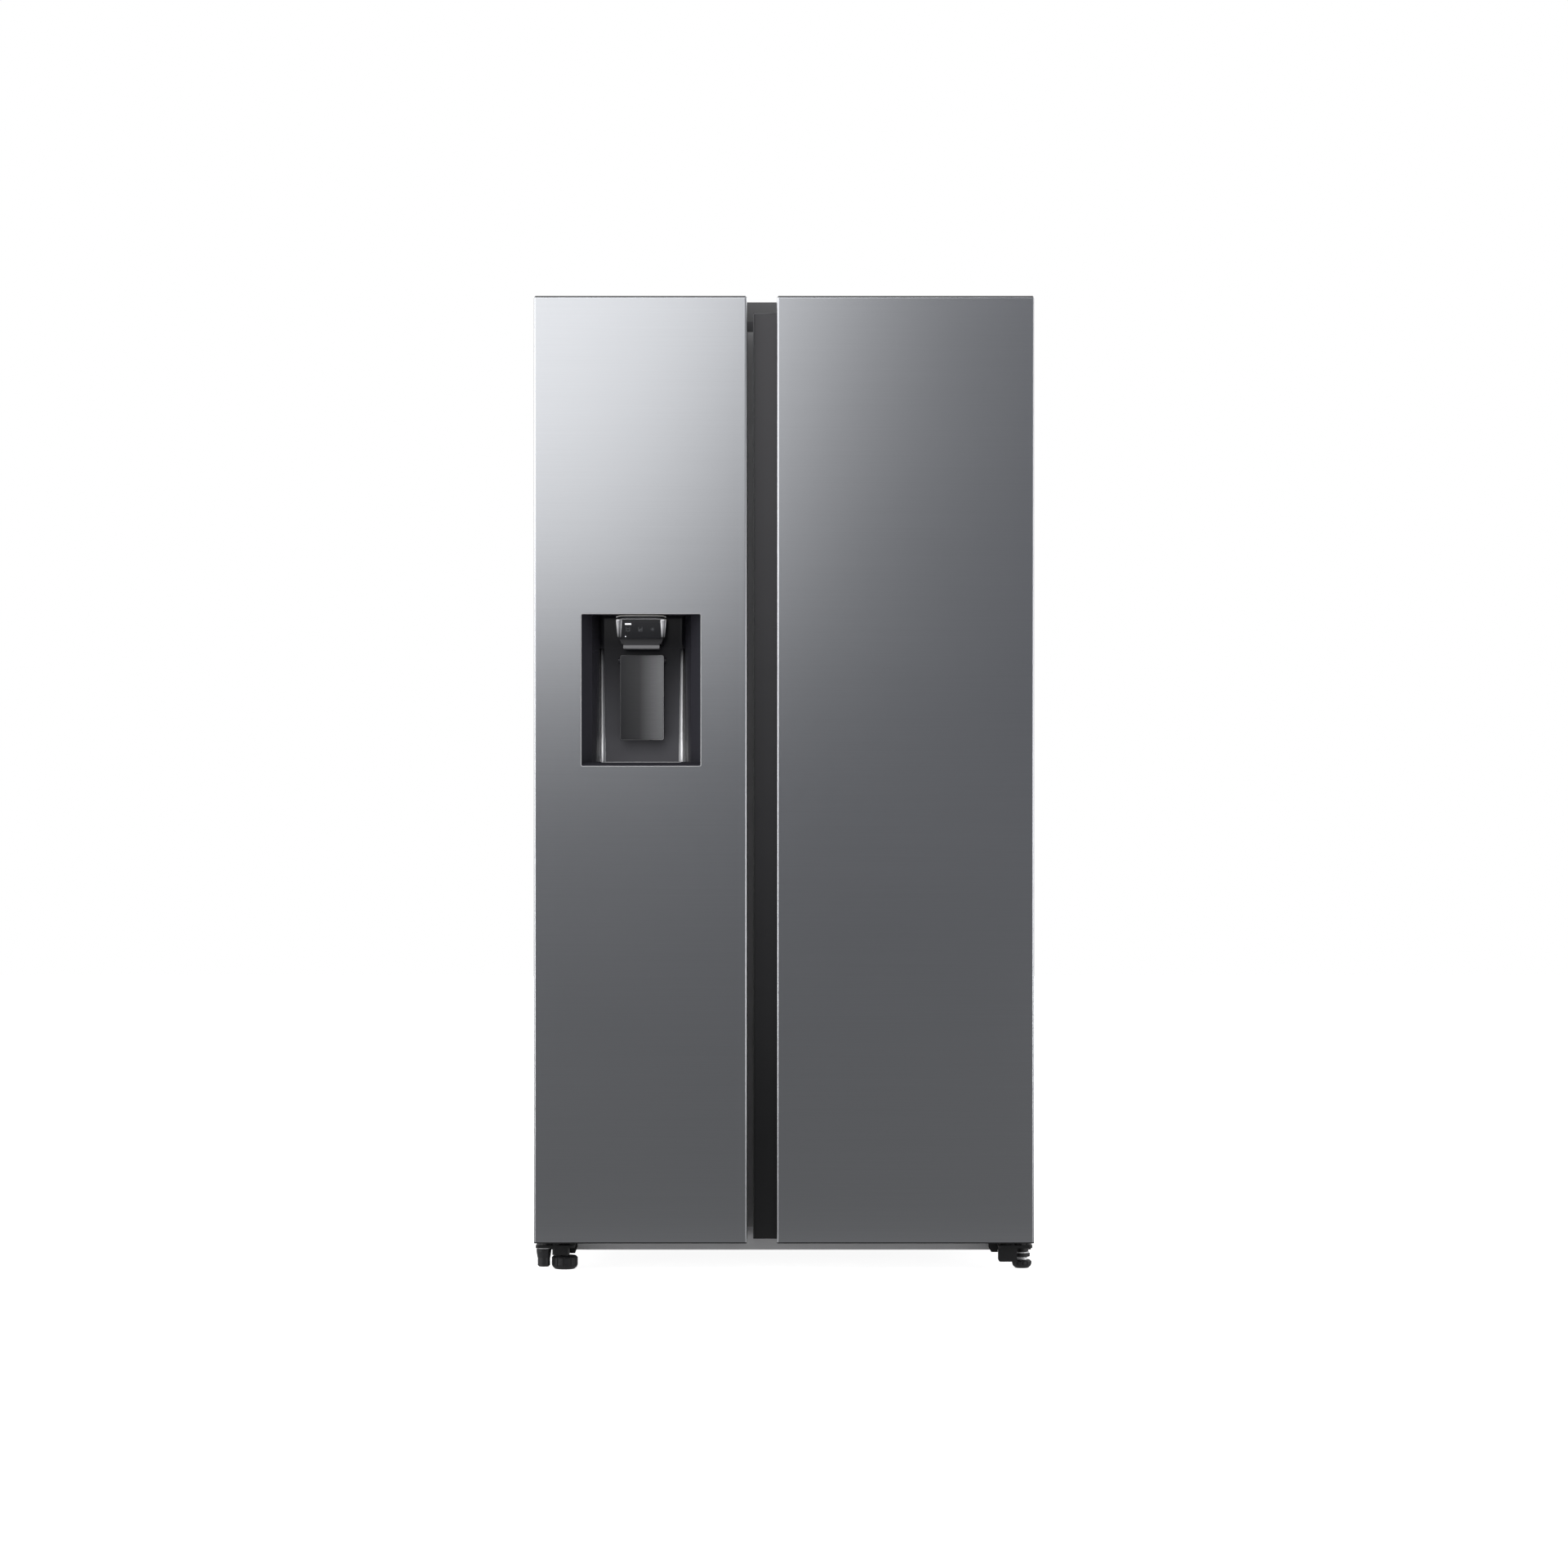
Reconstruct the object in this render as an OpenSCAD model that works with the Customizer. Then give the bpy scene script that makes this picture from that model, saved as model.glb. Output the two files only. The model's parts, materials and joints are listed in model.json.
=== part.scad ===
// Side by side refrigerator with an ice and water dispenser.
// The origin is at the middle of the footprint, on the floor. +Z is up, the doors face -Y.

/* [Cabinet] */
// Width of the cabinet and of the two closed doors
body_w = 912; // [880:1:960]
// Depth of the cabinet without the doors
cabinet_d = 610; // [600:1:680]
// Height of the cabinet top above the floor
cabinet_top = 1744; // [1720:1:1850]
// Height of the cabinet underside above the floor
base_z = 31; // [29:0.5:38]
// Height of the top edge of the front rail above the floor
rail_top = 73.6; // [66:0.2:80]
// Sheet thickness of the outer case
case_t = 1; // [0.6:0.1:1.5]
// Sheet thickness of the base frame
base_t = 1.5; // [1:0.1:2.5]
// Wall thickness of the moulded liners
liner_t = 2.5; // [1.5:0.1:4]
// Thickness of the insulated side walls, which is also the width of the front flange
side_wall = 40; // [36:1:60]
// Thickness of the insulated top wall
top_wall = 44; // [40:1:70]
// Thickness of the insulated back wall
back_wall = 68; // [55:1:85]
// Height of the compartment floors above the floor of the room
floor_z = 110; // [104:1:130]

/* [Machine room] */
// Depth of the machine room at the bottom of the back
machine_d = 240; // [220:1:260]
// Height of the machine room ceiling above the floor
machine_top = 290; // [270:1:300]
// Insulation between the machine room and the compartments
step_wall = 45; // [35:1:60]
// Length of the compressor mounting rubbers
mount_h = 14; // [10:1:20]
// Radius of the compressor shell
compressor_r = 72; // [60:1:80]
// Height of the compressor shell
compressor_h = 175; // [140:1:190]
// Number of fins on the condenser
condenser_fins = 22; // [10:1:30]
// Radius of the condenser fan
condenser_fan_r = 70; // [55:1:80]

/* [Doors] */
// Thickness of a door
door_d = 94; // [90:1:110]
// Gap between the doors and the cabinet that the gaskets fill
door_gap = 12; // [10:0.5:15]
// Height of the door undersides above the floor
door_bottom = 53.4; // [52:0.2:60]
// Rise of the doors and the hinge cover above the cabinet top
crown_h = 36; // [28:1:50]
// Depth of the raised ridge along the front of a door top
ridge_d = 22; // [16:1:24]
// Drop of the door top behind the ridge, below the cabinet top
ledge_drop = 6; // [4:1:12]
// Thickness of the stainless skin
skin_t = 1; // [0.6:0.1:1.5]
// Outer radius of the skin's rolled edges
edge_r = 4; // [2:0.5:8]
// Depth of the skin's return at the free edge of a door
return_d = 18; // [12:1:24]
// Visible height of the end caps above and below the skin
cap_lip = 2.2; // [1:0.1:4]
// Height of the end caps inside the skin
cap_h = 20; // [16:1:30]
// Width of a gasket
gasket_w = 14; // [10:1:15]
// Distance from a compartment's opening to the inner edge of its gasket
gasket_in = 3; // [2:0.5:5]
// Distance of the hinge axis from the side of the cabinet
pivot_in = 22; // [18:1:22]
// Distance of the hinge axis in front of the back of the door
pivot_back = 30; // [26:1:36]
// Width of the door liner's raised rim
rim_w = 18; // [12:1:24]
// Projection of the door liner's raised rim from the back of the door
rim_d = 48; // [40:1:52]

/* [Middle] */
// Sideways place of the wall between the two compartments
mullion_x = -62; // [-80:1:-40]
// Width of the wall between the two compartments
mullion_w = 60; // [52:1:80]
// Gap between the rear bodies of the two closed doors
door_split = 11; // [9:0.5:16]
// Width of the slot for the fingers, from the grip bar's edge to the fridge door's skin
grip_slot = 43.4; // [35:0.2:55]
// Depth of the finger pockets behind the skins' free edges
pocket_w = 25; // [18:1:30]
// Distance of the grip bar's face behind the front of the doors
grip_set = 40; // [34:1:50]
// Thickness of the moulded grip walls
grip_t = 3; // [2:0.5:4]
// Distance of the grip bar's top below the top of the doors
grip_top_drop = 27; // [20:1:35]
// Distance of the grip bar's foot above the underside of the doors
grip_foot = 4.5; // [3:0.5:12]

/* [Dispenser] */
// Sideways place of the dispenser's middle
disp_x = -260.6; // [-275:0.2:-245]
// Height of the bottom edge of the dispenser's opening
disp_z = 922; // [850:1:1000]
// Width of the dispenser's opening
disp_w = 221; // [190:1:235]
// Height of the dispenser's opening
disp_h = 280; // [250:1:300]
// Depth of the dispenser's recess
disp_d = 78; // [66:1:80]
// Width of the recess at its back wall
disp_back_w = 148; // [120:1:170]
// Radius of the rounded corners at the back of the recess
disp_back_r = 9; // [4:0.5:14]
// Wall thickness of the dispenser's housing
disp_t = 3; // [2:0.5:4]
// Height of the sill at the bottom of the recess
disp_sill = 8; // [5:0.5:12]
// Radius of the corners of the opening
disp_r = 5; // [2:0.5:10]
// Width of the dispenser's head at its top
head_w = 92; // [80:1:110]
// Inward slope of each side of the head, from top to bottom
head_slope = 3; // [0:0.5:8]
// Height of the head
head_h = 36; // [28:1:44]
// Distance of the head's top below the top of the opening
head_drop = 9.5; // [7:0.5:16]
// Width of the lever's paddle
paddle_w = 80; // [60:1:90]
// Height of the lever's paddle
paddle_h = 156; // [120:1:160]
// Thickness of the lever's paddle
paddle_t = 4; // [3:0.5:6]
// Distance of the lever's paddle from the back wall of the recess
paddle_gap = 17; // [16:1:24]
// Distance of the paddle's top below the top of the opening
paddle_drop = 74.7; // [72:0.1:82]
// Radius of the lever's pivot pins
paddle_pin_r = 3; // [2:0.5:4]
// Inner width of the ice chute
chute_w = 60; // [40:1:64]
// Wall thickness of the ice chute
chute_t = 2; // [1.5:0.5:3]

/* [Ice maker] */
// Gap between the ice bucket and the nearer side of the door liner
ice_side_gap = 15.4; // [12:0.2:24]
// Free height above the ice maker, below the ceiling of the freezer
ice_top_gap = 86; // [70:1:100]
// Depth of the ice bucket
bucket_d = 90; // [80:1:100]
// Wall thickness of the ice bucket
bucket_t = 3; // [2:0.5:4]
// Radius of the auger's blades
auger_r = 27; // [20:1:32]
// Radius of the auger's shaft
auger_shaft_r = 5; // [4:0.5:8]
// Share of the ice room's height that the ice maker takes
maker_share = 0.344; // [0.3:0.001:0.36]

/* [Inside] */
// Height of the lowest glass shelf above the floor of the room
shelf_first_z = 560; // [556:1:600]
// Distance from one glass shelf to the next
shelf_pitch = 232; // [200:1:250]
// Thickness of the glass shelves
glass_t = 4; // [3:0.5:6]
// Distance of the shelves and drawers behind the front of the cabinet
shelf_set = 112; // [110:1:130]
// Projection of the moulded shelf rails from the liner walls
rail_p = 6; // [4:0.5:9]
// Clearance at each end of the glass shelves
shelf_clear = 1.5; // [1:0.5:3]
// Height of a freezer drawer or crisper
drawer_h = 175; // [150:1:185]
// Wall thickness of the drawers
drawer_t = 2.5; // [2:0.5:4]
// Clearance at each side of a drawer
drawer_clear = 9; // [8:0.5:12]
// Depth of the fridge door's bins
fridge_bin_d = 108; // [90:1:112]
// Depth of the freezer door's bins
freezer_bin_d = 84; // [70:1:88]
// Height of a door bin's front wall
bin_h = 86; // [60:1:100]
// Wall thickness of the door bins
bin_t = 2.5; // [2:0.5:4]
// Depth of the air duct behind the freezer's back cover
freezer_duct_d = 80; // [70:1:90]
// Depth of the air duct behind the fridge's back cover
fridge_duct_d = 30; // [20:1:50]
// Number of fins on the evaporator
evaporator_fins = 16; // [8:1:24]
// Radius of the evaporator fan
evap_fan_r = 52; // [40:1:60]

/* [Feet and hinges] */
// Thickness of the lower hinge plates
plate_t = 5; // [4:0.5:8]
// Height of the top of the lower hinge plates above the floor
plate_top = 45; // [42:0.5:47]
// Radius of the lower hinge pins
pin_r = 6; // [4:0.5:8]
// Radial clearance of the hinge pins in the doors
pin_clear = 0.08; // [0.05:0.01:0.1]
// Length of a hinge pin inside the door
pin_len = 16; // [10:1:19]
// Thickness of the upper hinge plates
upper_t = 3; // [2:0.5:5]
// Depth of the hinge cover on the cabinet top
cover_d = 130; // [120:1:180]
// Radius of the hinge cover's lobes over the door hinges
lobe_r = 36; // [28:1:37]
// Distance of the left foot from the left side
left_foot_in = 53; // [50:1:58]
// Radius of the left foot's disc
left_foot_r = 24; // [20:1:25]
// Distance of the right foot from the right side
right_foot_in = 18; // [18:1:22]
// Radius of the right foot's cap
right_foot_r = 18; // [14:1:18]
// Radius of the left foot's threaded stem
left_stem_r = 7.5; // [6:0.5:8]
// Radius of the right foot's threaded stem
right_stem_r = 10; // [8:0.5:10.5]
// Radial clearance of the stems in their nuts
stem_clear = 0.1; // [0.05:0.01:0.1]
// Radius of the rear rollers
roller_r = 14; // [12:0.5:15]
// Width of the rear rollers
roller_w = 22; // [16:1:30]
// Distance of the rear rollers from the middle of the cabinet
roller_x = 392; // [360:1:400]
// Radius of the water inlet's threaded port
inlet_r = 13.2; // [10:0.1:14]
// Outer radius of the water line
tube_r = 4; // [3:0.5:5]

/* [Hidden] */
$fn = 48;
e = 0.05;
seat = 0.3;
round_k = sqrt(2) - 1;

// planes from front to back
total_d = cabinet_d + door_gap + door_d;
front_y = -total_d / 2;
rear_y = total_d / 2;
door_back = front_y + door_d;
case_front = door_back + door_gap;
flange_back = case_front + case_t;
room_rear = rear_y - back_wall;
machine_front = rear_y - machine_d;
step_y = machine_front - step_wall;
step_z = machine_top + step_wall;
step_c = 40;
liner_plate_y = door_back - liner_t;
ledge_y = front_y + ridge_d;

// planes from side to side
side_x = body_w / 2;
inner_x = side_x - case_t;
open_x = side_x - side_wall;
freezer_r = mullion_x - mullion_w / 2;
fridge_l = mullion_x + mullion_w / 2;
freezer_edge = mullion_x - door_split / 2;
fridge_edge = mullion_x + door_split / 2;
skin_edge = fridge_edge + grip_slot;
pivot_x = side_x - pivot_in;
pivot_y = door_back - pivot_back;

// planes from bottom to top
room_top = cabinet_top - top_wall;
door_top = cabinet_top + crown_h;
ledge_z = cabinet_top - ledge_drop;
skin_bottom = door_bottom + cap_lip;
skin_top = door_top - cap_lip;
mullion_top = cabinet_top - 19;
plate_bottom = plate_top - plate_t;
grip_z0 = door_bottom + grip_foot;
grip_z1 = door_top - grip_top_drop;

// compartments
FREEZER = [-open_x, freezer_r];
FRIDGE = [fridge_l, open_x];
frame_w = 12;
shelf_front = case_front + shelf_set;
freezer_cover_y = room_rear - freezer_duct_d;
fridge_cover_y = room_rear - fridge_duct_d;
shelf_n = floor((room_top - 120 - shelf_first_z) / shelf_pitch) + 1;
shelf_zs = [for (i = [0 : shelf_n - 1]) shelf_first_z + i * shelf_pitch];
drawer_zs = [floor_z + 12, step_z + 12];
drawer_back = [step_y - 6, freezer_cover_y - 6];
drawer_rim_w = 7;
drawer_rim_t = 3;

// colours
DARK = [0.17, 0.17, 0.18];
GREY = [0.42, 0.42, 0.44];
STEEL = [0.62, 0.63, 0.65];
BLACK = [0.06, 0.06, 0.07];
WHITE = [0.93, 0.94, 0.95];
CLEAR = [0.80, 0.88, 0.92, 0.5];
FOAM = [0.94, 0.90, 0.74];

// ---- helpers ----

// a box from one corner to the opposite one
module block(a, b) {
  translate(a) cube(b - a);
}

// runs an outline drawn in (y, z) along X from x0 to x1
module along_x(x0, x1) {
  translate([x0, 0, 0]) rotate([90, 0, 90]) linear_extrude(x1 - x0) children();
}

// runs an outline drawn in (x, z) along Y from y0 to y1
module along_y(y0, y1) {
  translate([0, y1, 0]) rotate([90, 0, 0]) linear_extrude(y1 - y0) children();
}

// a rectangle with rounded corners, from corner a to corner b
module round_rect(a, b, r) {
  translate([a.x + r, a.y]) square([b.x - a.x - 2 * r, b.y - a.y]);
  translate([a.x, a.y + r]) square([b.x - a.x, b.y - a.y - 2 * r]);
  for (x = [a.x + r, b.x - r], y = [a.y + r, b.y - r]) translate([x, y]) circle(r);
}

// a rectangle from corner a to corner b with rounded corners on its front side only
module front_rounded(a, b, r) {
  translate([a.x, a.y + r]) square([b.x - a.x, b.y - a.y - r]);
  translate([a.x + r, a.y]) square([b.x - a.x - 2 * r, b.y - a.y]);
  for (x = [a.x + r, b.x - r]) translate([x, a.y + r]) circle(r);
}

// a rectangular ring between two rounded rectangles
module ring_rect(a, b, w, r) {
  difference() {
    round_rect(a - [w, w], b + [w, w], r + w);
    round_rect(a, b, r);
  }
}

// a straight tube or rod along X
module rod_x(x0, x1, y, z, r) {
  translate([x0, y, z]) rotate([0, 90, 0]) cylinder(h = x1 - x0, r = r);
}

// a straight tube or rod along Y
module rod_y(y0, y1, x, z, r) {
  translate([x, y0, z]) rotate([-90, 0, 0]) cylinder(h = y1 - y0, r = r);
}

// side outline of a compartment's hollow, grown outward by g
module room_outline(g) {
  k = round_k * g;
  polygon([[flange_back, floor_z - g], [step_y + g, floor_z - g],
    [step_y + g, step_z - step_c - k], [step_y + step_c + k, step_z - g],
    [room_rear + g, step_z - g], [room_rear + g, room_top + g], [flange_back, room_top + g]]);
}

module room(span, g) {
  along_x(span[0] - g, span[1] + g) room_outline(g);
}

// air passage through the wall between the compartments, behind the duct covers
module air_passage(g) {
  z = room_top - 150;
  block([freezer_r - 20, fridge_cover_y + 8 - g, z - g], [fridge_l + 20, room_rear - 4 + g, z + 80 + g]);
}

// ---- cabinet ----

module outer_case() {
  color(DARK) difference() {
    block([-side_x, case_front, base_z], [side_x, rear_y, cabinet_top]);
    block([-inner_x, flange_back, base_z - e], [inner_x, rear_y + e, cabinet_top - case_t]);
    block([-open_x, case_front - e, base_z - e], [open_x, flange_back + e, room_top]);
    block([-inner_x, case_front - e, base_z - e], [inner_x, flange_back + e, rail_top]);
    block([freezer_r, case_front - e, room_top - e], [fridge_l, flange_back + e, mullion_top]);
  }
}

module insulation() {
  foam_bottom = base_z + base_t;
  color(FOAM) difference() {
    block([-inner_x, flange_back + liner_t, foam_bottom], [inner_x, rear_y - case_t, cabinet_top - case_t]);
    room(FREEZER, liner_t);
    room(FRIDGE, liner_t);
    air_passage(0);
    block([-side_x, machine_front - base_t, base_z], [side_x, rear_y, machine_top]);
    board_pocket();
  }
}

module back_panel() {
  color(GREY) difference() {
    block([-inner_x, rear_y - case_t, machine_top], [inner_x, rear_y, cabinet_top - case_t]);
    // pressed vent row above the machine room
    for (i = [-6 : 6]) {
      along_y(rear_y - 2 * case_t, rear_y + e)
        round_rect([i * 60 - 20, machine_top + 16], [i * 60 + 20, machine_top + 22], 2.9);
    }
  }
}

module base_frame() {
  t = base_t;
  color([0.55, 0.55, 0.57]) difference() {
    along_x(-inner_x, inner_x) polygon([[case_front, base_z], [machine_front, base_z],
      [machine_front, machine_top - t], [rear_y - case_t, machine_top - t],
      [rear_y - case_t, machine_top], [machine_front - t, machine_top],
      [machine_front - t, base_z + t], [case_front + t, base_z + t],
      [case_front + t, rail_top], [case_front, rail_top]]);
    // drain holes for the melt water of both compartments
    for (x = [(FREEZER[0] + FREEZER[1]) / 2, (FRIDGE[0] + FRIDGE[1]) / 2]) {
      translate([x, machine_front + 60, machine_top - 2 * t]) cylinder(h = 3 * t, r = 6);
    }
  }
}

module mullion_cover() {
  color(DARK) difference() {
    union() {
      block([-open_x, case_front, rail_top], [open_x, flange_back, floor_z]);
      block([freezer_r, case_front, rail_top], [fridge_l, flange_back, mullion_top]);
    }
    // pressed groove along each side of the middle strip
    for (x = [freezer_r + 6, fridge_l - 6]) {
      block([x - 1, case_front - e, floor_z + 20], [x + 1, case_front + case_t / 3, room_top - 20]);
    }
  }
}

// outline of the hinge cover from above, drawn in by i all round
module cover_plan(i) {
  r = lobe_r - i;
  translate([-side_x + i, case_front + i]) square([body_w - 2 * i, cover_d - 2 * i]);
  intersection() {
    for (s = [-1, 1]) {
      translate([s * pivot_x, pivot_y]) circle(r);
      translate([s * pivot_x - r, pivot_y]) square([2 * r, case_front - pivot_y + 10]);
    }
    translate([-side_x + i, pivot_y - lobe_r]) square([body_w - 2 * i, cover_d]);
  }
}

module top_cover() {
  t = 2.5;
  color(DARK) difference() {
    translate([0, 0, cabinet_top]) linear_extrude(crown_h) cover_plan(0);
    translate([0, 0, cabinet_top - e]) linear_extrude(crown_h - t + e) cover_plan(t);
    // sloped rear edge
    along_x(-side_x - e, side_x + e) polygon([[case_front + cover_d + 1, cabinet_top + 16],
      [case_front + cover_d + 1, door_top + e], [case_front + cover_d - 22, door_top + e]]);
    // cable slots in the rear wall
    for (x = [-120, 0, 120]) block([x - 12, case_front + cover_d - 10, cabinet_top - e],
      [x + 12, case_front + cover_d + 1, cabinet_top + 6]);
  }
  // inner walls that stiffen the cover
  color(DARK) for (x = [-300, -180, 180, 300]) {
    block([x - 1, case_front + t, cabinet_top + 2], [x + 1, case_front + 90, door_top - t]);
  }
}

hinge_arm_r = 15;
hinge_foot_in = 20;
hinge_foot_w = 75;
hinge_foot_d = 48;

// plan of one upper hinge plate, for the right side
module upper_plate_plan() {
  translate([pivot_x, pivot_y]) circle(hinge_arm_r);
  translate([pivot_x - hinge_arm_r, pivot_y])
    square([2 * hinge_arm_r, case_front + hinge_foot_in + hinge_foot_d - pivot_y]);
  translate([pivot_x + hinge_arm_r - hinge_foot_w, case_front + hinge_foot_in])
    square([hinge_foot_w, hinge_foot_d]);
}

module upper_hinges() {
  color(STEEL) for (s = [0, 1]) mirror([s, 0, 0]) {
    translate([0, 0, cabinet_top]) linear_extrude(upper_t) upper_plate_plan();
    translate([pivot_x, pivot_y, ledge_z - pin_len])
      cylinder(h = pin_len + ledge_drop + upper_t, r = pin_r);
    translate([pivot_x, pivot_y, ledge_z + seat]) cylinder(h = ledge_drop - seat, r = 11);
    // raised web that stiffens the arm
    translate([pivot_x - 6, pivot_y + 18, cabinet_top]) cube([12, 70, upper_t + 6]);
  }
}

// bore for both hinge pins of a door, s is -1 on the left and 1 on the right
module door_bores(s) {
  r = pin_r + pin_clear;
  translate([s * pivot_x, pivot_y, door_bottom - e]) cylinder(h = pin_len + 1 + e, r = r);
  translate([s * pivot_x, pivot_y, ledge_z - pin_len - 1]) cylinder(h = pin_len + 1 + e, r = r);
}

// lower hinge plate with its tab, pin and collar, for the right side
module lower_plate(inner, stem_x, stem_y, stem_r) {
  reach = pivot_y - 20;
  difference() {
    union() {
      translate([0, 0, plate_bottom]) linear_extrude(plate_t)
        round_rect([inner, reach], [side_x - 0.5, case_front], 6);
      block([inner, case_front - 3, base_z + 1], [side_x - 0.5, case_front, plate_top]);
      translate([pivot_x, pivot_y, plate_top - e]) cylinder(h = door_bottom - seat - plate_top + e, r = 10);
      translate([pivot_x, pivot_y, plate_bottom])
        cylinder(h = door_bottom + pin_len - plate_bottom, r = pin_r);
    }
    translate([stem_x, stem_y, base_z - 30]) cylinder(h = 60, r = stem_r + stem_clear);
  }
}

left_foot_x = side_x - left_foot_in;
right_foot_x = side_x - right_foot_in;
right_foot_y = pivot_y + 24;
left_foot_y = pivot_y + 8;

module lower_hinge_right() {
  inner = side_x - 63;
  color(BLACK) {
    lower_plate(inner, right_foot_x, right_foot_y, right_stem_r);
    // foot nut under the plate
    difference() {
      translate([right_foot_x, right_foot_y, plate_bottom - 9]) cylinder(h = 9, r = right_stem_r + 2.4);
      translate([right_foot_x, right_foot_y, plate_bottom - 10])
        cylinder(h = 12, r = right_stem_r + stem_clear);
    }
    // stop block that hangs below the plate
    along_y(pivot_y - 18, pivot_y + 4) difference() {
      union() {
        translate([inner, 15 + 4]) square([34, plate_bottom - 19]);
        translate([inner + 4, 15]) square([30, 6]);
        translate([inner + 4, 15 + 4]) circle(4);
      }
      translate([inner + 34, 0]) square(40);
    }
    // gusset towards the middle
    along_y(case_front - 14, case_front - 2) polygon([[inner - 16, base_z + 6], [inner - 11, base_z - 3],
      [inner + 1, base_z - 3], [inner + 1, plate_top - 1], [inner - 16, plate_top - 1]]);
  }
}

module lower_hinge_left() {
  inner = side_x - 72;
  color(BLACK) mirror([1, 0, 0]) {
    difference() {
      union() {
        lower_plate(inner, left_foot_x, left_foot_y, left_stem_r);
        // housing of the foot's nut
        translate([0, 0, 27]) linear_extrude(plate_bottom - 27)
          round_rect([left_foot_x - 9, left_foot_y - 24],
          [left_foot_x + 22, left_foot_y + 12], 4);
        along_y(case_front - 14, case_front - 2) polygon([[inner - 3, base_z + 6], [inner + 1, base_z - 5],
          [inner + 12, base_z - 5], [inner + 12, plate_top - 1], [inner - 3, plate_top - 1]]);
      }
      translate([left_foot_x, left_foot_y, 20]) cylinder(h = 40, r = left_stem_r + stem_clear);
    }
  }
}

// a foot: threaded stem, adjusting collar and pad, around the Z axis and standing on the floor
module foot(r, pad_h, stem_r, collar_z, top) {
  cylinder(h = top, r = stem_r);
  if (collar_z > 0) translate([0, 0, collar_z]) cylinder(h = 6, r = stem_r + 5);
  difference() {
    rotate_extrude() polygon([[0, 0], [r - 6, 0], [r - 1.5, 4], [r, 8], [r, pad_h - 3], [r - 3, pad_h],
      [0, pad_h]]);
    // grip notches round the pad
    for (a = [0 : 30 : 330]) rotate(a) translate([r, 0, 5]) cylinder(h = pad_h, r = 1.6);
  }
}

module right_foot() {
  color(BLACK) translate([right_foot_x, right_foot_y, 0])
    foot(right_foot_r, 15, right_stem_r, 21, door_bottom - 3);
}

module left_foot() {
  color(BLACK) translate([-left_foot_x, left_foot_y, 0])
    foot(left_foot_r, 24, left_stem_r, 0, door_bottom - 3);
}

// ---- water supply ----

line_x = -side_x + 15;
line_z = base_z - tube_r - seat;
valve_x = -side_x + 31;
valve_y = rear_y - 60;
valve_z = 100;
bend_r = 16;

module water_line() {
  x = line_x;
  up_y = valve_y - 2;
  color([0.85, 0.86, 0.88]) {
    // straight run below the base
    rod_y(pivot_y, up_y - bend_r, x, line_z, tube_r);
    // bend up into the machine room
    translate([x, up_y - bend_r, line_z + bend_r]) rotate([0, 90, 0]) rotate_extrude(angle = 90)
      translate([bend_r, 0]) circle(tube_r);
    translate([x, up_y, line_z + bend_r]) cylinder(h = 60 - line_z - bend_r + 8, r = tube_r);
    // coupler under the left hinge pin
    translate([x, pivot_y, 5]) rotate_extrude()
      polygon([[0, 0], [9.5, 0], [11.5, 2.5], [11.5, 16], [12.2, 17], [13.8, 28],
      [13.8, plate_bottom - 8], [11, plate_bottom - 5], [0, plate_bottom - 5]]);
  }
}

module water_inlet_valve() {
  x = valve_x;
  z = valve_z;
  color([0.30, 0.42, 0.62]) difference() {
    union() {
      rod_y(valve_y - 22, rear_y - 24, x, z, 13);
      rod_y(rear_y - 24, rear_y - 1, x, z, inlet_r);
      rod_y(rear_y - 24, rear_y - 20, x, z, 17);
      // solenoid
      translate([x, valve_y - 4, z + 6]) cylinder(h = 46, r = 14);
      translate([x - 9, valve_y - 12, z + 52]) cube([18, 16, 8]);
      // outlet nozzle down to the water line
      translate([line_x, valve_y - 2, 68]) cylinder(h = z - 68, r = 6);
      rod_x(line_x, x, valve_y - 2, z, 6);
      // foot bracket on the floor of the machine room
      block([x + 10, valve_y - 18, base_z + base_t], [x + 13, valve_y + 14, z]);
      block([x + 10, valve_y - 18, base_z + base_t], [x + 40, valve_y + 14, base_z + base_t + 2]);
    }
    // bore of the inlet
    rod_y(rear_y - 26, rear_y, x, z, inlet_r - 3.5);
  }
}

// ---- machine room ----

mr_floor = base_z + base_t;
comp_x = inner_x - 250;
comp_y = (machine_front + rear_y) / 2 + 5;

module compressor_plate() {
  color(GREY) difference() {
    union() {
      block([-inner_x, machine_front, base_z], [inner_x, rear_y - 3, mr_floor]);
      // cheeks that carry the rollers
      for (s = [-1, 1], d = [-1, 1]) {
        x = s * roller_x + d * (roller_w / 2 + 2.5);
        along_x(x - 1.5, x + 1.5) polygon([[rear_y - 84, base_z + e], [rear_y - 24, base_z + e],
          [rear_y - 45, roller_r - 7], [rear_y - 63, roller_r - 7]]);
      }
    }
    for (s = [-1, 1]) rod_x(s * roller_x - 20, s * roller_x + 20, rear_y - 54, roller_r, 3.05);
    // hole for the water line
    translate([line_x, valve_y - 5, base_z - e]) cylinder(h = 10, r = tube_r + 6.5);
    // bosses' holes under the compressor mounts
    for (dx = [-62, 62], dy = [-72, 72]) translate([comp_x + dx, comp_y + dy, base_z - e])
      cylinder(h = 10, r = 3.2);
    // cooling slots
    for (i = [0 : 7]) {
      translate([-300 + i * 24, machine_front + 90, base_z - e]) linear_extrude(10)
        round_rect([0, 0], [8, 90], 3.9);
    }
    // recess for each roller's top
    for (s = [-1, 1]) block([s * roller_x - roller_w / 2 - 0.8, rear_y - 68, base_z - e],
      [s * roller_x + roller_w / 2 + 0.8, rear_y - 40, mr_floor + e]);
  }
}

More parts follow.
